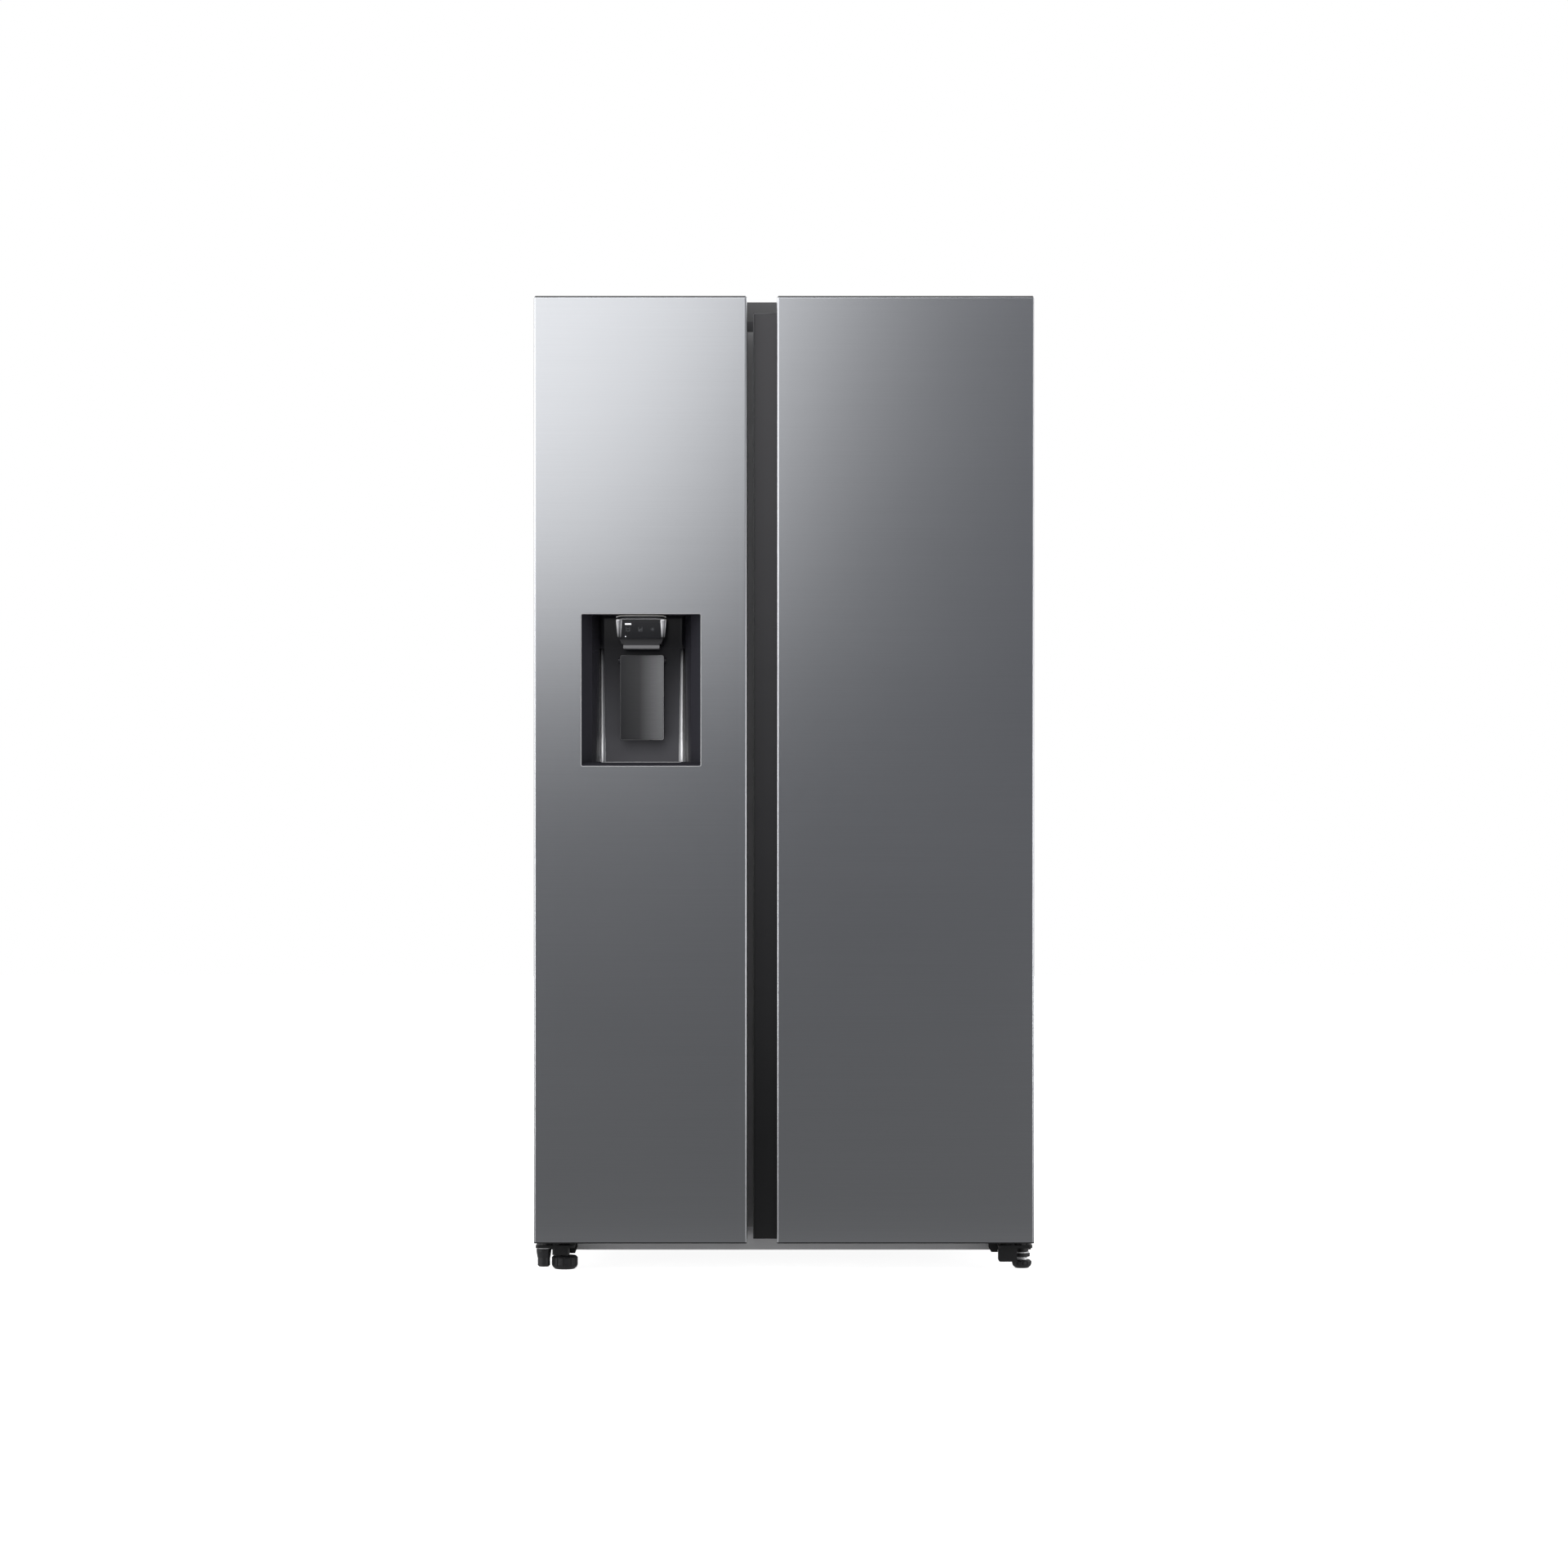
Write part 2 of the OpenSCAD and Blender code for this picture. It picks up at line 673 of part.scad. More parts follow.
module roller(s) {
  color(BLACK) {
    translate([s * roller_x - roller_w / 2, rear_y - 54, roller_r]) rotate([0, 90, 0]) difference() {
      cylinder(h = roller_w, r = roller_r);
      // hollowed faces
      translate([0, 0, -e]) difference() {
        cylinder(h = 4, r = roller_r - 3);
        cylinder(h = 4, r = 5.5);
      }
      translate([0, 0, roller_w - 4]) difference() {
        cylinder(h = 4 + e, r = roller_r - 3);
        cylinder(h = 4 + e, r = 5.5);
      }
    }
    rod_x(s * roller_x - roller_w / 2 - 5.5, s * roller_x + roller_w / 2 + 5.5, rear_y - 54, roller_r, 3);
  }
}

module rear_roller_left() {
  roller(-1);
}

module rear_roller_right() {
  roller(1);
}

module compressor_mounts() {
  color(BLACK) for (dx = [-62, 62], dy = [-72, 72]) {
    translate([comp_x + dx, comp_y + dy, mr_floor]) rotate_extrude() polygon([[3.2, 0], [11, 0], [11, 3],
      [8, 5], [8, mount_h - 5], [11, mount_h - 3], [11, mount_h], [3.2, mount_h]]);
  }
}

module compressor() {
  z0 = mr_floor + mount_h;
  foot_t = 3;
  h = compressor_h;
  r = compressor_r;
  color(BLACK) {
    // carrier rails with holes over the mounts
    difference() {
      for (dx = [-62, 62]) translate([comp_x + dx, comp_y, z0]) linear_extrude(foot_t)
        round_rect([-14, -86], [14, 86], 8);
      for (dx = [-62, 62], dy = [-72, 72]) translate([comp_x + dx, comp_y + dy, z0 - e])
        cylinder(h = 5, r = 3.2);
    }
    // shell of two drawn halves with a welded seam
    translate([comp_x, comp_y, z0]) rotate_extrude() {
      difference() {
        union() {
          translate([0, 30]) square([r, h - 80]);
          intersection() {
            translate([0, h - 20 - r * 1.25]) circle(r * 1.25 + 20);
            translate([0, h - 51]) square([r, 80]);
          }
          translate([0, 3]) square([r - 27, 28]);
          translate([r - 27, 30]) circle(27);
          translate([0, h * 0.55]) square([r + 3, 6]);
        }
        translate([-2 * r, -h]) square([2 * r, 3 * h]);
      }
    }
    // terminal box
    block([comp_x - 30, comp_y - r - 22, z0 + 60], [comp_x + 30, comp_y - r + 10, z0 + 120]);
    // suction, discharge and process stubs
    rod_x(comp_x - r - 26, comp_x - r + 8, comp_y - 18, z0 + 62, 4);
    rod_x(comp_x - r - 26, comp_x - r + 8, comp_y + 22, z0 + 78, 3);
    rod_x(comp_x + r - 8, comp_x + r + 20, comp_y + 8, z0 + 70, 3);
  }
}

cond_l = -330;
cond_r = -60;

module drain_pan() {
  color(BLACK) difference() {
    translate([0, 0, mr_floor]) linear_extrude(26)
      round_rect([cond_l + 16, machine_front + 16], [cond_r - 16, rear_y - 30], 10);
    translate([0, 0, mr_floor + 2]) linear_extrude(26)
      round_rect([cond_l + 18, machine_front + 18], [cond_r - 18, rear_y - 32], 8);
  }
}

module condenser() {
  y0 = machine_front + 30;
  rows = 5;
  cols = 3;
  pitch = 34;
  top = mr_floor + 60 + rows * pitch;
  color([0.25, 0.25, 0.26]) {
    // end plates that stand on the floor of the machine room
    for (x = [cond_l, cond_r - 2]) block([x, y0, mr_floor], [x + 2, y0 + cols * pitch + 20, top]);
    // straight tubes through the fins
    for (i = [0 : rows - 1], j = [0 : cols - 1]) {
      rod_x(cond_l + 1, cond_r - 1, y0 + 27 + j * pitch, mr_floor + 54 + i * pitch, 4);
    }
    // fins
    for (k = [1 : condenser_fins]) {
      x = cond_l + k * (cond_r - cond_l) / (condenser_fins + 1);
      block([x - 0.4, y0 + 10, mr_floor + 36], [x + 0.4, y0 + cols * pitch + 10, top - 8]);
    }
    // return bends
    for (i = [0 : rows - 1], j = [0 : 1]) {
      s = (i + j) % 2;
      x = s == 0 ? cond_r - 1 : cond_l + 1;
      translate([x, y0 + 27 + (j + 0.5) * pitch, mr_floor + 54 + i * pitch])
        rotate([0, 0, s == 0 ? -90 : 90])
        rotate_extrude(angle = 180) translate([pitch / 2, 0]) circle(4);
    }
  }
}

fan_rise = 120;
fan_x = comp_x - 185;
fan_y = (machine_front + rear_y) / 2 - 20;
fan_z = mr_floor + fan_rise;

module fan_shroud() {
  r = condenser_fan_r + 4;
  color(BLACK) difference() {
    union() {
      difference() {
        block([fan_x - 22, fan_y - 86, mr_floor], [fan_x - 18, fan_y + 92, fan_z + 88]);
        rod_x(fan_x - 30, fan_x, fan_y, fan_z, r + 1.2);
      }
      difference() {
        rod_x(fan_x - 21, fan_x + 16, fan_y, fan_z, r + 3);
        rod_x(fan_x - 30, fan_x + 20, fan_y, fan_z, r);
      }
      // foot flange
      block([fan_x - 22, fan_y - 86, mr_floor], [fan_x + 8, fan_y + 92, mr_floor + 3]);
      // spider arms and motor
      for (a = [45, 135, 225, 315]) translate([fan_x + 12, fan_y, fan_z]) rotate([a, 0, 0])
        block([-1, -3, 0], [3, 3, r + 1.5]);
      rod_x(fan_x + 8, fan_x + 44, fan_y, fan_z, 24);
    }
    rod_x(fan_x + 6, fan_x + 26, fan_y, fan_z, 4.05);
  }
}

// a ducted fan around +Z: hub, shaft and twisted blades
module fan(r, hub, depth, n, shaft) {
  pitch = 34;
  chord = (depth - 3) / sin(pitch);
  cylinder(h = depth, r = hub);
  translate([0, 0, depth - e]) cylinder(h = shaft + e, r = 4);
  intersection() {
    cylinder(h = depth, r = r);
    for (i = [0 : n - 1]) rotate(360 * i / n) translate([0, 0, depth / 2]) rotate([pitch, 0, 0])
      block([hub / 2, -chord / 2, -0.8], [r + 4, chord / 2, 0.8]);
  }
}

module condenser_fan() {
  color(GREY) translate([fan_x - 16, fan_y, fan_z]) rotate([0, 90, 0]) fan(condenser_fan_r, 26, 22, 6, 16);
}

module machine_room_cover() {
  t = 2;
  lip = 0.5;
  color(GREY) difference() {
    block([-inner_x + lip, rear_y - 4, mr_floor], [inner_x - lip, rear_y - 2, machine_top - lip - base_t]);
    // louvre slots in two fields, beside the compressor and the condenser
    along_y(rear_y - 5, rear_y) {
      for (cx = [-200, 205], i = [0 : 11], j = [0 : 2]) {
        x = cx - 110 + j * 76;
        z = mr_floor + 38 + i * 16;
        round_rect([x, z], [x + 64, z + 6], 2.9);
      }
    }
    // hole round the water inlet
    rod_y(rear_y - 5, rear_y, valve_x, valve_z, inlet_r + 3);
    // hole for the mains gland
    rod_y(rear_y - 5, rear_y, gland_x, gland_z, 9);
  }
}

gland_x = 380;
gland_z = 70;

module cord_gland() {
  color(BLACK) difference() {
    union() {
      rod_y(rear_y - 14, rear_y - 1, gland_x, gland_z, 8.7);
      rod_y(rear_y - 2, rear_y - 0.2, gland_x, gland_z, 13);
    }
    rod_y(rear_y - 15, rear_y, gland_x, gland_z, 4.2);
  }
}

// the control board stands in a pocket in the back of the insulation
board_w = 240;
board_h = 200;
board_margin = 10;
board_d = 30;
board_x = inner_x - 115 - board_w;
board_z = room_top - 50 - board_h;
board_y = rear_y - case_t - board_d;

module board_pocket() {
  block([board_x - board_margin, board_y, board_z - board_margin],
    [board_x + board_w + board_margin, rear_y - case_t + e, board_z + board_h + board_margin]);
}

module control_board() {
  top = board_y + 7;
  color([0.10, 0.35, 0.20]) translate([board_x, 0, board_z]) {
    block([0, board_y + 6, 0], [board_w, board_y + 8, board_h]);
    for (x = [8, board_w - 8], z = [8, board_h - 8]) rod_y(board_y, top, x, z, 4);
    // transformer, relays, connectors and a chip
    block([0.08 * board_w, top, 20], [0.27 * board_w, top + 17, 60]);
    block([0.08 * board_w, top, 80], [0.21 * board_w, top + 15, 120]);
    for (z = [30, 60]) block([0.75 * board_w, top, z], [0.94 * board_w, top + 13, z + 15]);
    block([0.42 * board_w, top, 90], [0.54 * board_w, top + 3, 120]);
    for (i = [0 : 3]) rod_y(top, top + 18, (0.375 + 0.11 * i) * board_w, board_h - 40, 8);
  }
}

// ---- compartments ----

// moulded rails on both side walls of a compartment
module rails(span, z, h, p, y0, y1) {
  block([span[0] - e, y0, z - h], [span[0] + p, y1, z]);
  block([span[1] - p, y0, z - h], [span[1] + e, y1, z]);
}

drawer_rim_z = [for (z = drawer_zs) z + drawer_h - 14];

module liner(span, cover_y) {
  difference() {
    union() {
      room(span, liner_t);
      // frame that lies behind the case's front flange
      along_y(flange_back, flange_back + liner_t) translate([span[0], floor_z]) difference() {
        translate([-frame_w, -frame_w])
          square([span[1] - span[0] + 2 * frame_w, room_top - floor_z + 2 * frame_w]);
        square([span[1] - span[0], room_top - floor_z]);
      }
    }
    difference() {
      room(span, 0);
      for (z = shelf_zs) rails(span, z, 8, rail_p, shelf_front + 16, cover_y - 30);
      for (i = [0, 1]) rails(span, drawer_rim_z[i] - seat, 8, drawer_clear - seat, shelf_front + 14,
        drawer_back[i]);
    }
    block([span[0], case_front, floor_z], [span[1], flange_back + e, room_top]);
    air_passage(0);
  }
}

module freezer_liner() {
  color(WHITE) liner(FREEZER, freezer_cover_y);
}

module fridge_liner() {
  color(WHITE) liner(FRIDGE, fridge_cover_y);
}

fan_cx = (FREEZER[0] + FREEZER[1]) / 2;
evap_fan_z = step_z + 600;

// back cover of a compartment: a shallow tray that stands on the back wall
module duct_cover(span, cover_y) {
  t = 2.5;
  z0 = step_z + 1;
  z1 = room_top - 1;
  difference() {
    block([span[0] + 1, cover_y, z0], [span[1] - 1, room_rear, z1]);
    block([span[0] + 1 + t, cover_y + t, z0 + t], [span[1] - 1 - t, room_rear + e, z1 - t]);
    // air slots between the shelves
    along_y(cover_y - e, cover_y + t + e) {
      for (z = shelf_zs, i = [-1, 1], j = [0 : 3]) {
        x = (span[0] + span[1]) / 2 + i * 70;
        round_rect([x - 26, z + 60 + j * 14], [x + 26, z + 66 + j * 14], 2.9);
      }
    }
    // return slots at the foot
    along_y(cover_y - e, cover_y + t + e) for (j = [0 : 7]) {
      x = span[0] + 60 + j * (span[1] - span[0] - 120) / 7;
      round_rect([x - 4, z0 + 30], [x + 4, z0 + 70], 3.9);
    }
    block([freezer_r - 10, cover_y + t, room_top - 150], [fridge_l + 10, room_rear - 4, room_top - 70]);
  }
}

module duct_covers() {
  t = 2.5;
  color(WHITE) {
    difference() {
      duct_cover(FREEZER, freezer_cover_y);
      rod_y(freezer_cover_y - e, freezer_cover_y + t + e, fan_cx, evap_fan_z, evap_fan_r + 5.2);
    }
    // fan guard and motor carrier
    difference() {
      union() {
        difference() {
          rod_y(freezer_cover_y, freezer_cover_y + 30, fan_cx, evap_fan_z, evap_fan_r + 6.5);
          rod_y(freezer_cover_y - e, freezer_cover_y + 31, fan_cx, evap_fan_z, evap_fan_r + 4);
        }
        for (a = [0, 60, 120]) translate([fan_cx, freezer_cover_y, evap_fan_z]) rotate([0, a, 0])
          block([-evap_fan_r - 5, 0, -2], [evap_fan_r + 5, 2.5, 2]);
        for (a = [30, 120]) translate([fan_cx, freezer_cover_y + 26, evap_fan_z]) rotate([0, a, 0])
          block([-evap_fan_r - 5, 0, -3], [evap_fan_r + 5, 4, 3]);
        rod_y(freezer_cover_y + 26, freezer_cover_y + 50, fan_cx, evap_fan_z, 18);
      }
      rod_y(freezer_cover_y + 25, freezer_cover_y + 42, fan_cx, evap_fan_z, 4.05);
    }
    duct_cover(FRIDGE, fridge_cover_y);
  }
}

module evaporator_fan() {
  color(GREY) translate([fan_cx, freezer_cover_y + 5, evap_fan_z]) rotate([-90, 0, 0])
    fan(evap_fan_r, 20, 18, 5, 14);
}

module evaporator() {
  x0 = FREEZER[0] + 22;
  x1 = FREEZER[1] - 22;
  z0 = step_z + 120;
  rows = 8;
  pitch = 36;
  y0 = freezer_cover_y + 16;
  y1 = room_rear;
  color(STEEL) {
    for (x = [x0, x1 - 1.5]) block([x, y0, z0], [x + 1.5, y1, z0 + rows * pitch]);
    for (i = [0 : rows - 1], y = [y0 + 14, y1 - 16]) rod_x(x0 + 1, x1 - 1, y, z0 + (i + 0.5) * pitch, 4);
    for (k = [1 : evaporator_fins]) {
      x = x0 + k * (x1 - x0) / (evaporator_fins + 1);
      block([x - 0.4, y0 + 2, z0 + 4], [x + 0.4, y1 - 2, z0 + rows * pitch - 4]);
    }
    // defrost heater rod under the fins
    for (x = [x0, x1 - 1.5]) block([x, y0 + 20, z0 - 24], [x + 1.5, y1, z0 + 1]);
    rod_x(x0 + 1, x1 - 1, y0 + 32, z0 - 16, 4);
  }
}

// where the glass of a shelf lies
module glass_at(span, y1, z) {
  block([span[0] + shelf_clear, shelf_front + 3, z], [span[1] - shelf_clear, y1 - 9, z + glass_t]);
}

module glass_shelves() {
  color(CLEAR) for (z = shelf_zs) {
    glass_at(FREEZER, freezer_cover_y, z);
    glass_at(FRIDGE, fridge_cover_y, z);
  }
}

// front and rear edge trims round one pane
module trims_at(span, y1, z) {
  difference() {
    along_x(span[0] + shelf_clear, span[1] - shelf_clear) {
      round_rect([shelf_front, z - 3], [shelf_front + 14, z + glass_t + 3], 2.4);
      round_rect([y1 - 18, z - 2.5], [y1 - 6, z + glass_t + 2.5], 2);
      translate([y1 - 10, z]) square([3, 16]);
    }
    glass_at(span, y1, z);
  }
}

module shelf_trims() {
  color(STEEL) for (z = shelf_zs) {
    trims_at(FREEZER, freezer_cover_y, z);
    trims_at(FRIDGE, fridge_cover_y, z);
  }
}

module lamp_covers() {
  color(WHITE) for (span = [FREEZER, FRIDGE]) {
    cx = (span[0] + span[1]) / 2;
    translate([0, 0, room_top - 9]) linear_extrude(9)
      round_rect([cx - 90, case_front + 150], [cx + 90, case_front + 240], 12);
  }
}

// an open drawer with rims that slide on the moulded rails
module drawer(span, i) {
  x0 = span[0] + drawer_clear;
  x1 = span[1] - drawer_clear;
  z0 = drawer_zs[i];
  y0 = shelf_front;
  y1 = drawer_back[i];
  rim = drawer_rim_z[i];
  difference() {
    union() {
      translate([0, 0, z0]) linear_extrude(drawer_h) round_rect([x0 + 5, y0 + 8], [x1 - 5, y1], 8);
      // thicker front with a hooded pull
      along_x(x0, x1)
        polygon([[y0, z0], [y0 + 12, z0], [y0 + 12, z0 + drawer_h], [y0 + 4, z0 + drawer_h],
          [y0, z0 + drawer_h - 10]]);
      // rims that lie over the rails
      block([x0 - drawer_rim_w, y0 + 12, rim], [x0 + 7, y1 - 4, rim + drawer_rim_t]);
      block([x1 - 7, y0 + 12, rim], [x1 + drawer_rim_w, y1 - 4, rim + drawer_rim_t]);
    }
    translate([0, 0, z0 + drawer_t]) linear_extrude(drawer_h)
      round_rect([x0 + 5 + drawer_t, y0 + 12 + drawer_t],
      [x1 - 5 - drawer_t, y1 - drawer_t], 6);
    // hand recess in the front
    along_x((x0 + x1) / 2 - 60, (x0 + x1) / 2 + 60)
      round_rect([y0 - 5, z0 + drawer_h - 46], [y0 + 8, z0 + drawer_h - 18], 4);
  }
}

module freezer_drawer_lower() {
  color(CLEAR) drawer(FREEZER, 0);
}

module freezer_drawer_upper() {
  color(CLEAR) drawer(FREEZER, 1);
}

module crisper_lower() {
  color(CLEAR) drawer(FRIDGE, 0);
}

module crisper_upper() {
  color(CLEAR) drawer(FRIDGE, 1);
}

// ---- doors ----

// plan of a door's skin seen from above, drawn in by i; s is 1 where the free edge is on the right
module skin_plan(x0, x1, i) {
  front_rounded([x0 + i, front_y + i], [x1 - i, door_back + (i > 0 ? e : 0)], edge_r - i);
}

// the bent skin: full depth at the hinge side, a short return at the free edge
module door_skin(x0, x1, free_right) {
  cut_x0 = free_right ? x1 - skin_t - e : x0 - e;
  difference() {
    translate([0, 0, skin_bottom]) linear_extrude(skin_top - skin_bottom) difference() {
      skin_plan(x0, x1, 0);
      skin_plan(x0, x1, skin_t);
      translate([cut_x0, front_y + return_d]) square([skin_t + 2 * e, door_d]);
    }
    // step down behind the ridge
    block([x0 - 1, ledge_y, ledge_z], [x1 + 1, door_back + 1, door_top]);
  }
}

// end caps of a door: a ledge for the hinge, the ridge and the visible lips
module end_caps(x0, x1, s) {
  t = skin_t;
  pocket_x0 = s < 0 ? x1 - pocket_w - grip_t : x0;
  difference() {
    union() {
      // top cap
      translate([0, 0, ledge_z - cap_h]) linear_extrude(cap_h)
        front_rounded([x0 + t, front_y + t], [x1 - t, liner_plate_y], edge_r - t);
      translate([0, 0, ledge_z - e]) linear_extrude(skin_top - ledge_z + 2 * e) intersection() {
        front_rounded([x0 + t, front_y + t], [x1 - t, door_back], edge_r - t);
        translate([x0, front_y]) square([x1 - x0, ridge_d]);
      }
      translate([0, 0, skin_top]) linear_extrude(cap_lip) intersection() {
        front_rounded([x0, front_y], [x1, door_back], edge_r);
        translate([x0, front_y]) square([x1 - x0, ridge_d]);
      }
      // bottom cap
      translate([0, 0, skin_bottom - e]) linear_extrude(cap_h + e)
        front_rounded([x0 + t, front_y + t], [x1 - t, liner_plate_y], edge_r - t);
      translate([0, 0, door_bottom]) linear_extrude(cap_lip)
        front_rounded([x0, front_y], [x1, liner_plate_y], edge_r);
    }
    // space of the finger pocket and the grip
    block([pocket_x0, front_y + return_d - grip_t, skin_bottom],
      [pocket_x0 + pocket_w + grip_t, door_back, s < 0 ? ledge_z : grip_z1]);
    block([pocket_x0 - 1, front_y + return_d, door_bottom - 1],
      [pocket_x0 + pocket_w + grip_t + (s < 0 ? 1 : 0), door_back, skin_bottom + e]);
    door_bores(s);
  }
}

// plan of the freezer door's grip: a wall round a finger pocket open to the right
module freezer_grip_plan() {
  x1 = freezer_edge;
  x0 = x1 - pocket_w - grip_t;
  ya = front_y + return_d - grip_t;
  yb = front_y + return_d + 34;
  difference() {
    translate([x0, ya]) square([x1 - x0 - skin_t, liner_plate_y - ya]);
    // finger pocket
    round_rect([x0 + grip_t, ya + grip_t], [x1 + 20, yb], 11);
    // foam side behind the pocket
    translate([x0 - e, yb + grip_t]) square([x1 - x0 - skin_t - grip_t + e, door_d]);
  }
  translate([x1 - skin_t - e, yb + 6]) square([skin_t + e, liner_plate_y - yb - 6]);
}

// plan of the fridge door's grip bar and of the pocket behind the skin
module fridge_grip_plan(solid) {
  x0 = fridge_edge;
  x1 = skin_edge + pocket_w;
  ya = front_y + return_d - grip_t;
  yb = front_y + grip_set;
  difference() {
    union() {
      translate([skin_edge + skin_t, ya]) square([pocket_w - skin_t + grip_t, liner_plate_y - ya]);
      front_rounded([x0, yb], [x1, liner_plate_y], edge_r);
    }
    // finger pocket
    round_rect([skin_edge - 30, ya + grip_t], [x1, yb], 8);
    translate([x0 - e, front_y]) square([skin_edge + skin_t - x0 + e, grip_set]);
    // foam side behind the bar
    if (!solid) translate([x0 + grip_t, yb + grip_t]) square([x1 + grip_t - x0, door_d]);
  }
}

// the long grips are moulded in sections that butt end to end
grip_sections = 3;
grip_joint = 0.1;

module grip_run(z0, z1) {
  step = (z1 - z0 + grip_joint) / grip_sections;
  for (i = [0 : grip_sections - 1]) translate([0, 0, z0 + i * step])
    linear_extrude(step - grip_joint) children();
}

module freezer_door_grip() {
  color(BLACK) grip_run(skin_bottom, ledge_z) freezer_grip_plan();
}

module fridge_door_grip() {
  color(BLACK) {
    grip_run(grip_z0, ledge_z) fridge_grip_plan(false);
    // closed ends
    translate([0, 0, ledge_z - e]) linear_extrude(grip_z1 - ledge_z + e) fridge_grip_plan(true);
    translate([0, 0, grip_z0]) linear_extrude(grip_t) fridge_grip_plan(true);
  }
}

// depth of the straight part of the recess behind the door skin
disp_straight = 14;

// dispenser recess seen from above, grown outward by g; back wall at the given depth
module recess_plan(g) {
  hw = disp_w / 2 - disp_t;
  hb = disp_back_w / 2;
  yb = front_y + disp_d;
  bend = disp_d * 0.45;
  bend_x = hb + (hw - hb) * 0.42;
  r = disp_back_r;
  translate([disp_x, 0]) difference() {
    polygon([[-hw - g, front_y], [hw + g, front_y], [hw + g, front_y + disp_straight],
      [bend_x + g, front_y + bend], [hb + g, yb - r], [hb + g, yb + g], [-hb - g, yb + g],
      [-hb - g, yb - r], [-bend_x - g, front_y + bend], [-hw - g, front_y + disp_straight]]);
    if (g == 0) for (s = [-1, 1]) translate([s * hb, yb]) difference() {
      square(2 * r, center = true);
      translate([-s * r, -r]) circle(r);
      translate([s < 0 ? r : -4 * r, -3 * r]) square([3 * r, 6 * r]);
      translate([-2 * r, -4 * r]) square([4 * r, 3 * r]);
    }
  }
}

disp_top = disp_z + disp_h;

module dispenser_envelope() {
  difference() {
    translate([0, 0, disp_z]) linear_extrude(disp_h) recess_plan(disp_t);
    block([disp_x - disp_w, front_y - 1, disp_z - 1],
      [disp_x + disp_w, front_y + skin_t, disp_z + disp_h + 1]);
  }
  // rim that fills the opening of the skin
  along_y(front_y, front_y + skin_t + 3)
    round_rect([disp_x - disp_w / 2, disp_z], [disp_x + disp_w / 2, disp_top], disp_r);
}

lever_z = disp_top - paddle_drop - 10;
lever_y = front_y + disp_d - 9;
lug_x = paddle_w / 2 - 6;

module dispenser_housing() {
  yb = front_y + disp_d;
  color(BLACK) difference() {
    union() {
      difference() {
        dispenser_envelope();
        // hollow of the recess above the sill
        translate([0, 0, disp_z + disp_sill]) linear_extrude(disp_h - disp_sill - disp_t) recess_plan(0);
        // sunk drip surface in front of the sill's lip
        along_x(disp_x - disp_back_w / 2, disp_x + disp_back_w / 2) polygon([[front_y - e, disp_z + 4],
          [front_y - e, disp_top], [front_y + 12, disp_top], [front_y + 12, disp_z + 4]]);
        along_y(front_y - e, front_y + 12)
          round_rect([disp_x - disp_w / 2 + 2, disp_z + 4], [disp_x + disp_w / 2 - 2, disp_top - 2],
            disp_r - 2);
      }
      // lugs that carry the lever's pins
      for (s = [-1, 1]) translate([disp_x + s * (lug_x + 6.3), 0, 0]) along_x(-3, 3) {
        translate([lever_y, lever_z]) circle(6);
        translate([lever_y, lever_z - 6]) square([yb - lever_y + e, 12]);
      }
    }
    rod_x(disp_x - lug_x - 9.5, disp_x + lug_x + 9.5, lever_y, lever_z, paddle_pin_r + 0.08);
    chute(chute_t);
  }
}

chute_y = front_y + 42;

// inside of the ice chute in (y, z), grown outward by g
module chute_outline(g) {
  back = door_back + 20;
  polygon([[back - g, bucket_z], [back + 50 + g, bucket_z], [back + 50 + g, bucket_z - 10 - g],
    [chute_y + 20 + g, disp_top - 36 - g], [chute_y + 20 + g, disp_top - 64],
      [chute_y - 20 - g, disp_top - 64],
    [chute_y - 20 - g, disp_top - 22 + g], [back - g, bucket_z - 14 + g]]);
}

module chute(g) {
  along_x(disp_x - chute_w / 2 - g, disp_x + chute_w / 2 + g) chute_outline(g);
}

head_z1 = disp_top - head_drop;
head_z0 = head_z1 - head_h;
head_front = front_y + 8;

// front outline of the head, drawn in by i
module head_outline(i) {
  a = head_w / 2 - i;
  b = head_w / 2 - head_slope - i;
  polygon([[-a, head_z1 - i - 2], [-b, head_z0 + i + 3], [-b + 3, head_z0 + i], [b - 3, head_z0 + i],
    [b, head_z0 + i + 3], [a, head_z1 - i - 2], [a - 2, head_z1 - i], [-a + 2, head_z1 - i]]);
}

module dispenser_head() {
  color([0.13, 0.13, 0.14]) difference() {
    union() {
      translate([disp_x, 0, 0]) along_y(head_front, front_y + disp_d) head_outline(0);
      // curved trim strip over the head
      translate([disp_x, 0, 0]) along_y(head_front - 2, front_y + disp_d) intersection() {
        translate([0, disp_top - 5 - 260]) circle(260, $fn = 200);
        translate([-head_w / 2, disp_top - 10]) square([head_w, 7.2]);
        translate([0, -4]) translate([-head_w / 2, disp_top - 4]) square([head_w, 6]);
      }
      // neck that carries the strip and the head
      block([disp_x - head_w / 2 + 12, head_front + 14, head_z1 - 1],
        [disp_x + head_w / 2 - 12, front_y + disp_d, disp_top - disp_t]);
    }
    // seat of the display
    translate([disp_x, 0, 0]) along_y(head_front - e, head_front + 1.5) head_outline(9);
    chute(chute_t);
  }
}

module dispenser_display() {
  color([0.02, 0.02, 0.03]) translate([disp_x, 0, 0]) along_y(head_front, head_front + 1.5)
    head_outline(9.2);
}

